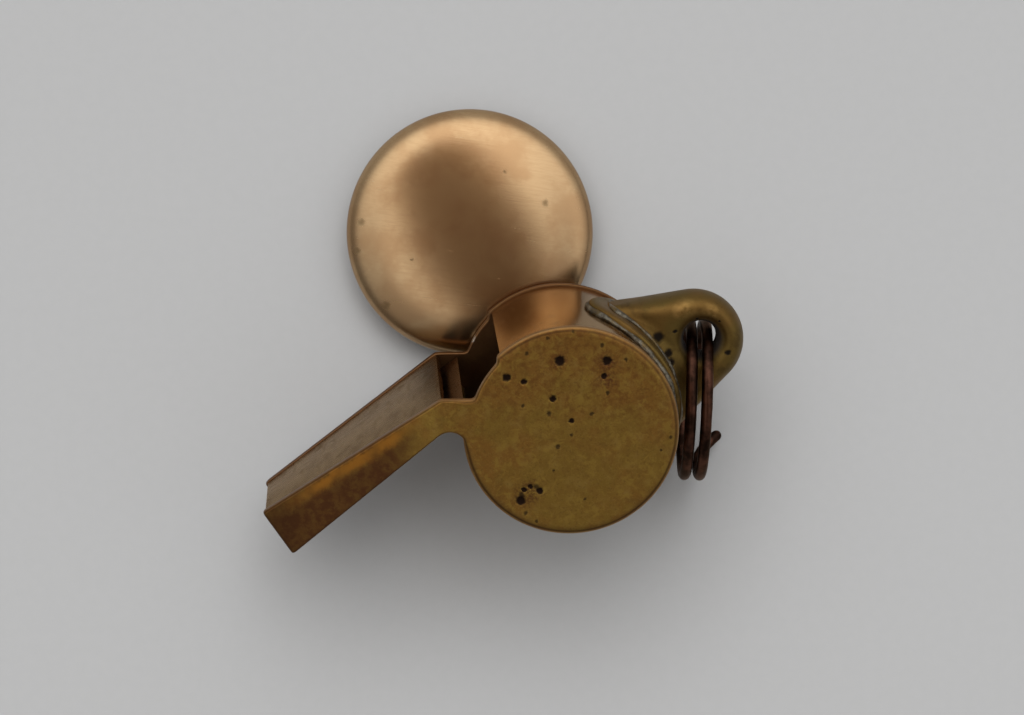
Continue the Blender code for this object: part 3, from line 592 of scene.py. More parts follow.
def giltFinish(name):
    tones = gilt
    material, shader, place = newFinish(name)
    local = inMillimetres(place, middle=buttonMiddle)
    cloud = noise(local, 0.20, 4.0, 0.6)
    fine = noise(local, 3.5, 4.0, 0.6)
    colour = tint(step(cloud, 0.40, 0.62), tones["bright"], tones["deep"])
    spots = spotMask(warped(local, 1.8, 0.5), giltSpots, 0.85)
    # fine brush lines, slightly off level, and a few longer scratches
    turn = {"Vector": local, "Angle": tones["brushAngle"]}
    level = local.node("ShaderNodeVectorRotate", {"rotation_type": "Z_AXIS"}, turn)
    brushed = noise(stretched(level, (0.10, 3.0, 1.0)), 2.6, 4.0, 0.65)
    scratched = step(noise(stretched(level, (0.05, 1.6, 1.0)), 1.7, 2.0), 0.66, 0.76)
    colour = coats(colour, tones, [
        (step(fine, 0.60, 0.75) * 0.3, "deep"),
        (spots * 0.55, "spot"),
        (step(brushed, 0.40, 0.66) * 0.35, "deep"),
    ])
    rough = tones["rough"] + 0.05 * cloud + 0.05 * fine + 0.06 * brushed + 0.04 * scratched + 0.2 * spots
    height = 0.2 * fine + 0.3 * cloud + 0.45 * brushed - 0.05 * scratched
    feedMetal(shader, colour, rough, height, tones["relief"])
    return material


copperWire = {
    "dark": (0.018, 0.009, 0.006), "copper": (0.085, 0.036, 0.023), "bloom": (0.036, 0.023, 0.015),
    "rough": 0.30, "relief": 0.02, "specularTint": (0.72, 0.64, 0.58, 1.0),
}


def wireFinish(name):
    tones = copperWire
    material, shader, place = newFinish(name)
    local = inMillimetres(place)
    patch = noise(local, 0.55, 5.0, 0.6)
    fine = noise(local, 5.0, 3.0)
    colour = tint(step(patch, 0.40, 0.66), tones["dark"], tones["copper"])
    colour = tint(step(fine, 0.56, 0.72) * 0.5, colour, tones["bloom"])
    feedMetal(shader, colour, tones["rough"] + 0.14 * fine, 0.6 * fine + patch, tones["relief"])
    feed(shader, {"Specular Tint": tones["specularTint"]})
    return material


solder = {
    "grey": (0.22, 0.198, 0.155), "dark": (0.09, 0.076, 0.056), "brass": (0.17, 0.115, 0.045),
    "rough": 0.44, "relief": 0.05,
}


def solderFinish(name):
    tones = solder
    material, shader, place = newFinish(name)
    local = inMillimetres(place)
    lump = noise(local, 1.3, 5.0, 0.62)
    colour = tint(step(lump, 0.42, 0.60), tones["dark"], tones["grey"])
    colour = tint(step(noise(local, 0.8, 3.0), 0.50, 0.66) * 0.8, colour, tones["brass"])
    feedMetal(shader, colour, tones["rough"] + 0.2 * lump, lump, tones["relief"])
    return material


cork = {"pale": (0.50, 0.33, 0.18), "dark": (0.22, 0.12, 0.06), "cells": 2.2, "rough": 0.85, "relief": 0.12}


def corkFinish(name):
    material, shader, place = newFinish(name)
    local = inMillimetres(place)
    cells = place.node("ShaderNodeTexVoronoi", {}, {"Vector": local, "Scale": cork["cells"]})
    speck = noise(local, 1.6, 4.0)
    colour = tint(step(speck, 0.48, 0.62), cork["pale"], cork["dark"])
    normal = bumped(cells + speck, cork["relief"])
    feed(shader, {"Base Color": colour, "Roughness": cork["rough"], "Normal": normal})
    return material


finishes = {
    "nearPlate": plateFinish("near plate brass", True),
    "brass": plateFinish("side plate brass", False),
    "loop": loopFinish("loop brass", True),
    "leaf": loopFinish("leaf brass", False),
    "barrel": platingFinish("barrel nickel", platings["barrel"]),
    "mouth": platingFinish("mouthpiece nickel", platings["mouth"]),
    "block": platingFinish("window block", platings["block"]),
    "gilt": giltFinish("satin gilt"),
    "wire": wireFinish("brown wire"),
    "solder": solderFinish("solder"),
    "cork": corkFinish("cork"),
}
print("finishes made,", len(finishes))


# shape of the side plates

def cheekShift(x):
    # how far the cheek has leaned in: a straight ramp left of the fold, with a soft start
    soft = plate["foldSoftness"]
    return cheekRate * soft * np.logaddexp(0.0, (foldX - x) / soft)


def plateOutline(cheekCount, neckCount, discCount, acrossCount):
    # anticlockwise from the tip's lower corner: lower side, right end, upper side, tip
    radius = plate["radius"]
    apart = np.linalg.norm(notchMiddle)
    along = (apart**2 + radius**2 - plate["notchRadius"] ** 2) / (2 * apart)
    out = notchMiddle / apart
    meeting = along * out + math.sqrt(radius**2 - along**2) * np.array([out[1], -out[0]])
    discStart = math.atan2(meeting[1], meeting[0]) % (2 * np.pi)
    slant = math.radians(plate["cutSlant"])
    lip = math.radians(plate["lipAngle"] + plate["cutSlant"])
    cut = radius - plate["windowCut"]
    neckAngle = np.pi - math.asin(plate["neckHeight"] / cut)
    notchStart = tangentAngle(tipBottom, notchMiddle, plate["notchRadius"], -1)
    notchEnd = math.atan2(*(meeting - notchMiddle)[::-1])
    notchStart += 2 * np.pi * (notchStart < notchEnd)
    notchLine = arcLine(notchMiddle, plate["notchRadius"], notchStart, notchEnd)
    discLine = arcLine((0, 0), radius, discStart, lip + 2 * np.pi, count=900)
    cutLine = arcLine((0, 0), cut, lip + slant, neckAngle)
    line = np.concatenate([discLine, cutLine, [neckCorner, tipTop, tipBottom], notchLine])
    closed = np.concatenate([line, line[:1]])
    length = np.linalg.norm(np.diff(closed, axis=0), axis=1).sum()
    line = evenly(closed, int(length / plate["spacing"]))[:-1]
    line = softened(line, plate["cornerSoftness"] / plate["spacing"])
    end = math.radians(plate["rightEnd"])
    stops = [
        tipBottom, notchLine[0], meeting, radius * np.array([math.cos(end), -math.sin(end)]),
        radius * np.array([math.cos(end), math.sin(end)]), cutLine[-1], neckCorner, tipTop,
    ]
    counts = [cheekCount, neckCount, discCount, acrossCount, discCount, neckCount, cheekCount, acrossCount]
    at = [int(np.argmin(np.linalg.norm(line - stop, axis=1))) for stop in stops]
    parts = []
    for k, count in enumerate(counts):
        last = at[(k + 1) % 8]
        numbers = np.arange(at[k], last + 1 + len(line) * (last < at[k])) % len(line)
        parts.append(evenly(line[numbers], count + 1)[:-1])
    return np.concatenate(parts)


def coonsPatch(line, n, m):
    # grid that fills a closed line of four sides, n, m, n and m steps long:
    # straight blends between facing sides, less the blend of the corners
    lower = line[: n + 1]
    end = line[n : n + m + 1]
    upper = line[n + m : 2 * n + m + 1][::-1]
    start = np.concatenate([line[2 * n + m :], line[:1]])[::-1]
    u = np.linspace(0, 1, n + 1)[:, None, None]
    v = np.linspace(0, 1, m + 1)[None, :, None]
    sides = (1 - v) * lower[:, None] + v * upper[:, None] + (1 - u) * start[None] + u * end[None]
    corners = (1 - u) * (1 - v) * lower[0] + u * (1 - v) * lower[-1]
    corners = corners + (1 - u) * v * upper[0] + u * v * upper[-1]
    return sides - corners


def patchRim(n, m):
    # point numbers round the edge of such a grid, in the line's own order
    across = m + 1
    lower = np.arange(n) * across
    end = n * across + np.arange(m)
    upper = np.arange(n, 0, -1) * across + m
    start = np.arange(m, 0, -1)
    return np.concatenate([lower, end, upper, start])


def sidePlate(name, node, near, finish, counts):
    # face, round shoulder, edge and inner face; each layer has an inset, a depth
    # below the outer face and a mark for the finish
    outline = plateOutline(*counts)
    n, m = sum(counts[:3]), counts[3]
    ahead = np.roll(outline, -1, axis=0) - np.roll(outline, 1, axis=0)
    outward = np.stack([ahead[:, 1], -ahead[:, 0]], axis=1) / np.linalg.norm(ahead, axis=1, keepdims=True)
    onRim = (np.hypot(*outline.T) > plate["radius"] - 0.1) & (outline[:, 0] > plate["neckStart"])
    onDisc = softened(onRim.astype(float), plate["shoulderBlend"])
    wide, deep = [c + onDisc * (d - c) for c, d in zip(plate["cheekShoulder"], plate["discShoulder"])]
    inner = plate["innerRound"]
    bend = np.linspace(0, np.pi / 2, plate["shoulderSteps"])
    layers = [(wide * (1 - np.sin(t)), deep * (1 - np.cos(t)), min(1.0, t / 1.2)) for t in bend]
    layers.append((0 * wide, plate["thickness"] - inner + 0 * deep, 1.0))
    layers.append((0.3 * inner + 0 * wide, plate["thickness"] - 0.3 * inner + 0 * deep, 1.0))
    layers.append((inner + 0 * wide, plate["thickness"] + 0 * deep, 1.0))
    rings = [outline - outward * layer[0][:, None] for layer in layers]
    face = coonsPatch(rings[0], n, m).reshape(-1, 2)
    back = coonsPatch(rings[-1], n, m).reshape(-1, 2)
    faceDepth = plate["waviness"] * ripple(face, plate["waveSize"], 3)
    if near:
        for x, y, radius in pits:
            away = np.hypot(face[:, 0] - x, face[:, 1] - y) / radius
            depth = plate["pitDepth"] * min(1.0, (radius / plate["fullPit"]) ** 2)
            faceDepth = faceDepth + depth * smooth(*plate["pitWall"], away)
    rim = patchRim(n, m)
    # the uneven face has died away where the shoulder starts
    calm = np.min(np.linalg.norm(face[:, None] - rings[0][None, ::6], axis=2), axis=1)
    faceDepth = faceDepth * smooth(0.0, plate["calmEdge"], calm)
    flats = [face] + rings[1:-1] + [back]
    depths = [faceDepth] + [layer[1] for layer in layers[1:-1]] + [np.full(len(back), plate["thickness"])]
    edgeMarks = [np.full(len(outline), layer[2]) for layer in layers[1:-1]]
    marks = np.concatenate([np.zeros(len(face)), *edgeMarks, np.ones(len(back))])
    xy = np.concatenate(flats)
    z = barrelWidth - np.concatenate(depths) - cheekShift(xy[:, 0])
    if not near:
        z = barrelWidth - z
    quads = [gridQuads(n + 1, m + 1)]
    first = len(face)
    ring = rim
    for _ in rings[1:-1]:
        nextRing = first + np.arange(len(outline))
        quads.append(ringQuads(ring, nextRing))
        ring = nextRing
        first += len(outline)
    quads.append(ringQuads(ring, first + rim))
    quads.append(gridQuads(n + 1, m + 1, first))
    points = fromWhistle(np.column_stack([xy, z]))
    quads = np.concatenate(quads)
    addPiece(name, points, quads, "whistle", [node], finish, sharp=50, marks={"shoulder": marks})


# counts of steps along the cheek, the neck, half the disc and each end
sidePlate("plate_near", "near_side_plate", True, finishes["nearPlate"], (90, 20, 150, 110))
sidePlate("plate_far", "far_side_plate", False, finishes["brass"], (60, 14, 90, 40))
print("side plates made")


# barrel: a plated strip from the neck round to the lip of the window

barrel = {
    "outer": 10.05, "inner": 9.45, "low": 0.88, "high": 16.92, "corner": 0.12, "start": -178.0,
    "lip": plate["lipAngle"], "bevel": 4.0, "steps": 260,
}


def barrelBand():
    # rounded strip carried round the axis; its end at the lip slants by the bevel
    low, high = (barrel["inner"], barrel["low"]), (barrel["outer"], barrel["high"])
    r, z = roundedBox(low, high, barrel["corner"]).T
    u = np.linspace(0, 1, barrel["steps"])[:, None]
    slant = barrel["bevel"] * (barrel["outer"] - r) / (barrel["outer"] - barrel["inner"])
    angle = np.radians(barrel["start"] + u * (barrel["lip"] - slant - barrel["start"]))
    rows = np.stack([r * np.cos(angle), r * np.sin(angle), z + 0 * angle], axis=-1)
    points, quads = carried(rows)
    points = fromWhistle(points)
    addPiece("barrel", points, quads, "whistle", ["barrel_band"], finishes["barrel"], sharp=30)


barrelBand()
print("barrel made")


# mouthpiece plates and the block in the window

mouth = {
    "sheet": 0.6, "sink": 0.12, "corner": 0.1, "touch": 0.02, "tipGap": 0.3, "floorEnd": 28.0,
    "topSteps": 90, "floorSteps": 140,
}


def betweenCheeks(name, node, line, finish):
    # a flat bar with round edges carried along its outer line, on the line's left;
    # its width follows the cheeks
    side, depth = roundedBox((-1.0, 0.0), (1.0, mouth["sheet"]), mouth["corner"]).T
    flat = np.sign(side) * np.clip((np.abs(side) - 1 + mouth["corner"]) / mouth["corner"], 0, 1)
    ahead = np.gradient(line, axis=0)
    inward = np.stack([-ahead[:, 1], ahead[:, 0]], axis=1) / np.linalg.norm(ahead, axis=1, keepdims=True)
    xy = line[:, None] + depth[None, :, None] * inward[:, None]
    half = lie["middle"] - plate["thickness"] + mouth["touch"] - cheekShift(xy[..., 0])
    z = lie["middle"] + (half - mouth["corner"]) * np.sign(side) + mouth["corner"] * flat
    points, quads = carried(np.concatenate([xy, z[..., None]], axis=-1))
    addPiece(name, fromWhistle(points), quads, "whistle", [node], finish, sharp=35)


def floorLine():
    # from the tip along the cheeks' lower edge, round the notch and on to the barrel's wall
    first = tangentAngle(tipBottom, notchMiddle, plate["notchRadius"], -1) % (2 * np.pi)
    last = math.radians(mouth["floorEnd"])
    bend = arcLine(notchMiddle, plate["notchRadius"] + mouth["sink"], first, last, count=40)
    along = bend[0] - tipBottom - mouth["sink"] * np.array([math.cos(first), math.sin(first)])
    start = bend[0] - along + mouth["tipGap"] * along / np.linalg.norm(along)
    return evenly(np.concatenate([[start], bend]), mouth["floorSteps"])


topStart = neckCorner + mouth["sink"] * topInward
topDown = np.linspace(0, plate["mouthLength"] - mouth["tipGap"], mouth["topSteps"])
topLine = topStart + topDown[:, None] * topAlong
betweenCheeks("mouthpiece_top", "mouthpiece_top_plate", topLine, finishes["mouth"])
betweenCheeks("mouthpiece_floor", "mouthpiece_floor_plate", floorLine(), finishes["brass"])
print("mouthpiece made")


# carrying loop, its leaf on the barrel, and the solder round both

def carryLoop():
    # rays from the hole to the outline; the height over a ray is a smooth least of
    # the hole's trumpet and the round edge
    head = loop["reach"] * loopOut
    roots = [loopHeading - rootHalf, loopHeading + rootHalf]
    lower, upper = [loop["foot"] * np.array([math.cos(a), math.sin(a)]) for a in roots]
    first = tangentAngle(lower, head, loop["headRadius"], 1)
    last = tangentAngle(upper, head, loop["headRadius"], -1)
    last += 2 * np.pi * (last < first)
    foot = arcLine((0, 0), loop["foot"], roots[1], roots[0])
    line = np.concatenate([[lower], arcLine(head, loop["headRadius"], first, last, count=300), foot])
    line = softened(evenly(line, 3 * loop["rays"])[:-1], loop["lineSoftness"])
    line = evenly(np.concatenate([line, line[:1]]), loop["rays"] + 1)[:-1]
    away = line - holeMiddle
    far = np.linalg.norm(away, axis=1)
    t = 0.5 - 0.5 * np.cos(np.linspace(0, np.pi, loop["raySteps"]))
    r = loop["holeRadius"] + t[None, :] * (far - loop["holeRadius"])[:, None]
    xy = holeMiddle + (away / far[:, None])[:, None, :] * r[..., None]
    barrelFar = np.hypot(xy[..., 0], xy[..., 1])
    intoLip = np.clip((r - loop["holeRadius"]) / loop["flare"], 0, 1)
    trumpet = loop["flareHeight"] * np.sqrt(1 - (1 - intoLip) ** 2)
    intoEdge = np.clip((r - (far - loop["edge"])[:, None]) / loop["edge"], 0, 1)
    rounded = loop["half"] * np.sqrt(np.clip(1 - intoEdge ** loop["edgePower"], 0, 1))
    footing = smooth(*loop["footing"], barrelFar)
    # the foot spreads along the barrel and tapers to a point at both roots
    across = np.abs(xy @ np.array([-loopOut[1], loopOut[0]])) / footChord
    taper = np.sqrt(np.clip(1 - across ** loop["taperPower"], 0, 1))
    blunt = loop["half"] * (1 + loop["footFlare"] * footing**2) * taper
    edge = rounded + footing**1.5 * (np.maximum(blunt, 0.1) - rounded)
    tiny, blend = 1e-6, loop["blend"]
    height = ((trumpet + tiny) ** -blend + (edge + tiny) ** -blend) ** (-1 / blend)
    height = np.where(height < 1e-4, 0.0, height)
    uneven = loop["waviness"] * ripple(xy, loop["waveSize"], 11) * smooth(0.2, 1.2, height)
    top = np.concatenate([xy, (lie["middle"] + height + uneven)[..., None]], axis=-1)
    bottom = np.concatenate([xy, (lie["middle"] - height - uneven)[..., None]], axis=-1)
    rows, columns = height.shape
    quads = [gridQuads(rows, columns, first, closeRows=True) for first in (0, rows * columns)]
    rimNumbers = np.arange(rows) * columns + columns - 1
    quads.append(ringQuads(rimNumbers, rimNumbers + rows * columns))
    quads = np.concatenate(quads)
    points = fromWhistle(np.concatenate([top.reshape(-1, 3), bottom.reshape(-1, 3)]))
    addPiece("loop", points, quads, "whistle", ["carry_loop"], finishes["loop"], sharp=60)


leaf = {
    "halfAngle": 52.0, "halfWidth": 6.2, "inner": 10.0, "outer": 10.95, "edge": 0.35, "trim": 0.3,
    "flat": 0.92, "round": 0.08, "flatSteps": 24, "roundSteps": 8, "steps": 220,
    "waviness": 0.0015, "waveSize": 4.0,
}
leafChord = leaf["outer"] * math.sin(math.radians(leaf["halfAngle"])) - leaf["trim"]


def onLeaf(across, z, radius):
    # a point given by its distance across the loop's heading, its z and its distance from the barrel's axis
    angle = loopHeading + np.arcsin(np.clip(across / leaf["outer"], -1, 1))
    return np.stack([radius * np.cos(angle), radius * np.sin(angle), lie["middle"] + z], axis=-1)


def loopLeaf():
    # oval of the leaf's size wrapped on the barrel: v is the share of the way out over the top,
    # the round edge and back under it, and drop is the depth there, with 1 for the underside
    u = np.linspace(0, 2 * np.pi, leaf["steps"], endpoint=False)[:, None]
    bend = np.linspace(0.1, np.pi / 2, leaf["roundSteps"])
    flat = np.linspace(0, leaf["flat"], leaf["flatSteps"])
    v = np.concatenate([flat, leaf["flat"] + leaf["round"] * np.sin(bend), [1.0], [0.0]])
    drop = np.concatenate([0 * flat, leaf["edge"] * (1 - np.cos(bend)), [1.0], [1.0]])
    radius = leaf["outer"] - np.where(drop == 1.0, leaf["outer"] - leaf["inner"], drop)
    across = leafChord * v * np.cos(u)
    z = leaf["halfWidth"] * v * np.sin(u)
    points = onLeaf(across, z, radius + 0 * u)
    uneven = 1 + leaf["waviness"] * ripple(points, leaf["waveSize"], 5) * (drop == 0.0)
    points[..., :2] *= uneven[..., None]
    rows, columns = across.shape
    quads = gridQuads(rows, columns, closeRows=True)
    points = fromWhistle(points.reshape(-1, 3))
    addPiece("loop_leaf", points, quads, "whistle", ["loop_base"], finishes["leaf"], sharp=50)


# each line's distance from the barrel's axis, thickness and how much that varies
solderBead = {
    "leaf": {"rest": 10.2, "thick": 0.31, "vary": 0.09}, "foot": {"rest": 10.98, "thick": 0.24, "vary": 0.12},
    "footInset": 0.3, "footHalf": 3.35, "footPowers": (0.75, 0.5), "least": 0.06, "wander": 0.05,
    "wanderSize": 4.0, "varySize": 4.5, "steps": 260, "sides": 12,
}


def solderLine(name, across, z, bead, seed):
    # an uneven tube laid along a closed line on the barrel
    path = fromWhistle(onLeaf(across, z, bead["rest"]))
    wander = np.stack([ripple(path, solderBead["wanderSize"], seed + k) for k in (1, 2, 3)], axis=1)
    path = path + solderBead["wander"] * wander
    size = bead["thick"] + bead["vary"] * ripple(path, solderBead["varySize"], seed)
    size = np.clip(size, solderBead["least"], None)
    closed = np.concatenate([path[-2:], path, path[:2]])
    size = np.concatenate([size[-2:], size, size[:2]])
    rows = tube(closed, size, whistleTurn[:, 2], solderBead["sides"])[2:-2]
    quads = gridQuads(len(rows), rows.shape[1], closeRows=True, closeColumns=True)
    addPiece(name, rows.reshape(-1, 3), quads, "whistle", [], finishes["solder"], sharp=80)


def squared(wave, power):
    # the same wave with blunter or sharper turns
    return np.sign(wave) * np.abs(wave) ** power


carryLoop()
loopLeaf()
turnAngle = np.linspace(0, 2 * np.pi, solderBead["steps"], endpoint=False)
ahead, aside = np.cos(turnAngle), np.sin(turnAngle)
solderLine("leaf_solder", leafChord * ahead, leaf["halfWidth"] * aside, solderBead["leaf"], 21)
alongPower, asidePower = solderBead["footPowers"]
footAcross = (footChord - solderBead["footInset"]) * squared(ahead, alongPower)
footAside = solderBead["footHalf"] * squared(aside, asidePower)
solderLine("loop_solder", footAcross, footAside, solderBead["foot"], 31)
print("loop made")


# split ring: two turns of wire side by side, hanging from the hole and resting on the table

ring = {
    "wire": 1.1, "gap": 0.4, "radius": 7.55, "heading": -92.0, "split": 260.0, "crossing": 60.0,
    "endGap": 40.0, "lift": 2.0, "liftLength": 30.0, "tableGap": 0.1, "uneven": 0.02, "unevenSize": 3.0,
    "steps": 300, "capSteps": 7, "sides": 24,
}


def splitRing():
    way = math.radians(ring["heading"])
    out = np.array([math.cos(way), math.sin(way), 0.0])
    up = np.array([0.0, 0.0, 1.0])
    axis = np.cross(up, out)
    drop = ringHole[2] - (ring["radius"] + ring["wire"] / 2 + ring["tableGap"])
    centre = ringHole + out * math.sqrt(ring["radius"] ** 2 - drop**2) - up * drop
    length = 720.0 - 2 * ring["endGap"]
    gone = ring["endGap"] + length * np.linspace(0, 1, ring["steps"])
    crossed = smooth(0.0, 1.0, (gone - 360.0) / ring["crossing"] + 0.5)
    side = (ring["wire"] + ring["gap"]) * (crossed - 0.5)
    lifted = np.clip(1 - (ring["endGap"] + length - gone) / ring["liftLength"], 0, None)
    side = side + ring["lift"] * lifted**2
    angle = np.radians(ring["split"] - gone)[:, None]
    path = centre + ring["radius"] * (out * np.cos(angle) + up * np.sin(angle)) + axis * side[:, None]
    # a half ball closes each end
    t = np.linspace(0, np.pi / 2, ring["capSteps"])[1:-1]
    half = ring["wire"] / 2
    firstWay, lastWay = [(b - a) / np.linalg.norm(b - a) for a, b in (path[:2], path[-2:])]
    before = path[0] - firstWay * (half * np.sin(t[::-1]))[:, None]
    after = path[-1] + lastWay * (half * np.sin(t))[:, None]
    size = np.concatenate([half * np.cos(t[::-1]), np.full(len(path), half), half * np.cos(t)])
    line = np.concatenate([before, path, after])
    size = size * (1 + ring["uneven"] * ripple(line, ring["unevenSize"], 41))
    points, quads = carried(tube(line, size, axis, ring["sides"]))
    addPiece("ring", points, quads, "ring", ["split_ring"], finishes["wire"], sharp=60)


splitRing()
print("split ring made")


# button: domed front with a rolled lip, back plate and rivet; profiles are (radius, height above the table)

button = {
    "radius": 12.4, "rise": 3.1, "bottom": 1.6, "edge": 2.5, "rim": 0.45, "wall": 0.5,
    "lip": 1.6, "lipRound": 0.1, "frontSteps": 90, "rollSteps": 12, "insideSteps": 40, "steps": 180,
}
backPlate = {
    "upper": [(0, 2.9), (11.2, 2.9), (11.6, 2.65), (11.6, 2.5), (11.5, 2.4)],
    "groove": [(6.2, 2.4), (6.0, 2.45), (5.8, 2.4), (0, 2.4)], "steps": 96,
}
rivet = {
    "collar": [(0, 1.8), (2.3, 1.8), (2.4, 1.7), (2.4, 1.4), (2.3, 1.3)],
    "shank": [(1.0, 1.3), (1.0, 1.0)], "head": [(1.95, 0.15), (1.9, 0.1), (0, 0.1)], "steps": 96,
}


def domeLine(radius, rise, t):
    # quarter of an ellipse, radius wide and rise high over the widest line
    return np.column_stack([radius * np.sin(t), button["edge"] + rise * np.cos(t)])


def turnedPiece(name, node, profile, steps, finish, sharp):
    points, quads = turned(np.array(profile), steps)
    addPiece(name, points + buttonMiddle, quads, "button", [node], finish, sharp)


def domedFront():
    # the dome, a small roll under its rim, a lip that turns inward, and the hollow inside
    radius, rise, wall, bottom = [button[key] for key in ("radius", "rise", "wall", "bottom")]
    outside = domeLine(radius, rise, np.linspace(0, np.pi / 2, button["frontSteps"]))
    t = np.linspace(0, np.pi / 2, button["rollSteps"])[1:]
    roll = button["edge"] - bottom
    rolled = np.column_stack([radius - button["rim"] * (1 - np.cos(t)), button["edge"] - roll * np.sin(t)])
    lip = radius - button["lip"]
    under = [(lip, bottom), (lip - button["lipRound"], bottom + wall / 2)]
    under += [(lip, bottom + wall), (radius - wall, bottom + wall)]
    inside = domeLine(radius - wall, rise - wall, np.linspace(np.pi / 2, 0, button["insideSteps"]))
    return np.concatenate([outside, rolled, under, inside])


backProfile = backPlate["upper"] + backPlate["groove"]
rivetProfile = rivet["collar"] + rivet["shank"] + rivet["head"]
turnedPiece("button_dome", "button_front_shell", domedFront(), button["steps"], finishes["gilt"], 50)
turnedPiece("button_back", "button_back_plate", backProfile, backPlate["steps"], finishes["leaf"], 35)
turnedPiece("button_rivet", "button_shank", rivetProfile, rivet["steps"], finishes["leaf"], 35)
print("button made")


# cork pea

pea = {"radius": 3.97, "uneven": 0.1, "lumps": (0.6, 0.4), "lumpSize": 1.8, "rows": 60, "columns": 90}


def corkPea():
    # ball with a shallow lumpy surface; lumps are their mean and swing, as shares of uneven
    low, high = [np.array(corner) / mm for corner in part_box("cork_pea")]
    a = np.linspace(0, np.pi, pea["rows"])[:, None]
    b = np.linspace(0, 2 * np.pi, pea["columns"], endpoint=False)[None, :]
    ways = np.stack([np.sin(a) * np.cos(b), np.sin(a) * np.sin(b), np.cos(a) + 0 * b], axis=-1)
    mean, swing = pea["lumps"]
    size = pea["radius"] - pea["uneven"] * (mean + swing * ripple(ways * pea["radius"], pea["lumpSize"], 51))
    points = (low + high) / 2 + ways * size[..., None]
    quads = gridQuads(pea["rows"], pea["columns"], closeColumns=True)
    addPiece("pea", points.reshape(-1, 3), quads, "pea", ["cork_pea"], finishes["cork"], sharp=80)


corkPea()

# CAD pieces that keep their shape get the same finishes
kept = {"windway_block": "block", "button_tab": "leaf"}
for node, finish in kept.items():
    frame["nodes"][node].data.materials.clear()
    frame["nodes"][node].data.materials.append(finishes[finish])
print("pea and kept pieces finished")


# table, light and camera

table = {
    "half": 3.0, "steps": 41, "colour": (0.446, 0.452, 0.457), "speck": 900.0, "speckShade": 0.985,
    "rough": 0.7, "specular": 0.2,
}


def tableTop():
    side = np.linspace(-table["half"], table["half"], table["steps"]) / mm
    x, y = np.meshgrid(side, side, indexing="ij")
    mesh = bpy.data.meshes.new("table")
    points = np.stack([x, y, 0 * x], axis=-1).reshape(-1, 3) * mm
    quads = gridQuads(table["steps"], table["steps"])[:, ::-1]
    mesh.from_pydata(points.tolist(), [], quads.tolist())
    material, shader, place = newFinish("pale table")
    speck = noise(place, table["speck"])
    darker = [c * table["speckShade"] for c in table["colour"]]
    colour = tint(step(speck, 0.3, 0.7), table["colour"], darker)
    feed(shader, {"Base Color": colour, "Roughness": table["rough"], "Specular IOR Level": table["specular"]})
    mesh.materials.append(material)
    top = bpy.data.objects.new("table", mesh)
    bpy.context.scene.collection.objects.link(top)


# starts and ends are tangents of the angle off the zenith; a gain is what the bright side adds
sky = {
    "heading": 95.0, "power": 2.0, "low": 0.165, "lowGain": 0.42,
    "band": 0.27, "bandGain": 1.26, "bandStart": (0.13, 0.43), "bandEnd": (0.95, 2.7),
    "near": 0.85, "nearStart": (0.10, 0.30), "nearEnd": (0.42, 0.72),
    "side": 0.5, "sideStart": (0.4, 1.6), "sideEnd": (2.5, 8.0), "sideNear": 0.5, "sidePower": 4.0,
    "darkLevels": (0.25, 0.13), "darkFrom": (-0.22, 0.43), "darkTo": (0.24, -0.42), "darkWide": (0.38, 0.19),
    "darkTint": (1.0, 0.70, 0.46), "darkHorizon": (0.05, 0.3), "leastHeight": 0.04, "leastFlat": 0.02,
}


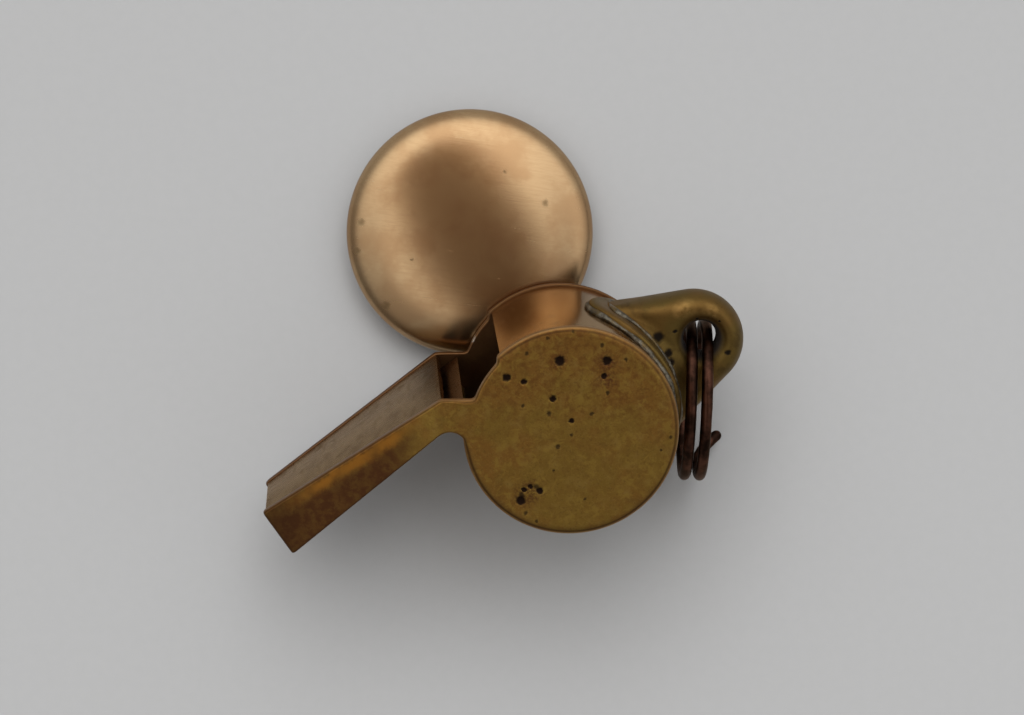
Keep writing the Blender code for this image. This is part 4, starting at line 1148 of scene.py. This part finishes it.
def skyLight():
    # a pale room: a bright band round a dark patch overhead, brighter towards one side
    world = bpy.data.worlds.new("room")
    bpy.context.scene.world = world
    world.use_nodes = True
    tree = world.node_tree
    way = Wire(tree, tree.nodes.new("ShaderNodeTexCoord").outputs["Generated"])
    x, y, z = axes(way)
    high = larger(z, sky["leastHeight"])
    p, q = x / high, y / high
    off = distance(p, q)
    band = between(off, sky["bandStart"], sky["bandEnd"])
    flat = larger(distance(x, y), sky["leastFlat"])
    brightSide = math.radians(sky["heading"])
    facing = (x * math.cos(brightSide) + y * math.sin(brightSide)) / flat
    facing = larger(facing * 0.5 + 0.5, 0.0) ** sky["power"]
    bright = sky["low"] + sky["lowGain"] * facing + band * (sky["band"] + sky["bandGain"] * facing)
    near = between(off, sky["nearStart"], sky["nearEnd"])
    rightward = larger(x / flat, 0.0) ** sky["sidePower"]
    low = between(off, sky["sideStart"], sky["sideEnd"])
    bright = bright + sky["near"] * near * (1.0 - facing) * (1.0 - sky["sideNear"] * rightward)
    bright = bright + sky["side"] * low * rightward
    # the dark patch lies round a straight line from darkFrom to darkTo
    (ax, ay), (bx, by) = sky["darkFrom"], sky["darkTo"]
    dx, dy = bx - ax, by - ay
    along = ((p - ax) * dx + (q - ay) * dy) / (dx * dx + dy * dy)
    along = along.maths("MINIMUM", larger(along, 0.0), 1.0)
    away = distance(p - ax - along * dx, q - ay - along * dy)
    shade = step(away, *sky["darkWide"]) * step(z, *sky["darkHorizon"])
    first, last = sky["darkLevels"]
    strength = bright * (1.0 - shade) + shade * (first + along * (last - first))
    tree.links.new(strength.socket, tree.nodes["Background"].inputs["Strength"])
    colour = tint(shade, (1.0, 1.0, 1.0), sky["darkTint"])
    tree.links.new(colour.socket, tree.nodes["Background"].inputs["Color"])


lamp = {"strength": 1.2, "spread": 50.0, "heading": 95.0, "height": 58.0}  # angles in degrees


def softLamp():
    # a wide soft lamp behind the button gives the table its shadow
    light = bpy.data.lights.new("soft lamp", "SUN")
    light.energy = lamp["strength"]
    light.angle = math.radians(lamp["spread"])
    holder = bpy.data.objects.new("soft lamp", light)
    holder.rotation_euler = (math.radians(90.0 - lamp["height"]), 0.0, math.radians(lamp["heading"] + 90.0))
    holder.visible_glossy = False
    bpy.context.scene.collection.objects.link(holder)


# focal is the lens over the sensor's width; height and fromBarrel are in mm
view = {
    "fromBarrel": (-4.64, 2.33), "height": 284.9, "focal": 2805.0 / 1024.0, "sensor": 36.0,
    "clip": (0.01, 20.0),
}


def overheadCamera():
    camera = bpy.data.cameras.new("camera")
    camera.sensor_fit = "HORIZONTAL"
    camera.sensor_width = view["sensor"]
    camera.lens = view["focal"] * view["sensor"]
    camera.clip_start, camera.clip_end = view["clip"]
    holder = bpy.data.objects.new("camera", camera)
    x, y = whistleStart[:2] + view["fromBarrel"]
    holder.location = (x * mm, y * mm, view["height"] * mm)
    bpy.context.scene.collection.objects.link(holder)
    bpy.context.scene.camera = holder


tableTop()
skyLight()
softLamp()
overheadCamera()
bpy.context.scene.view_settings.view_transform = "Standard"
print("table, light and camera set")
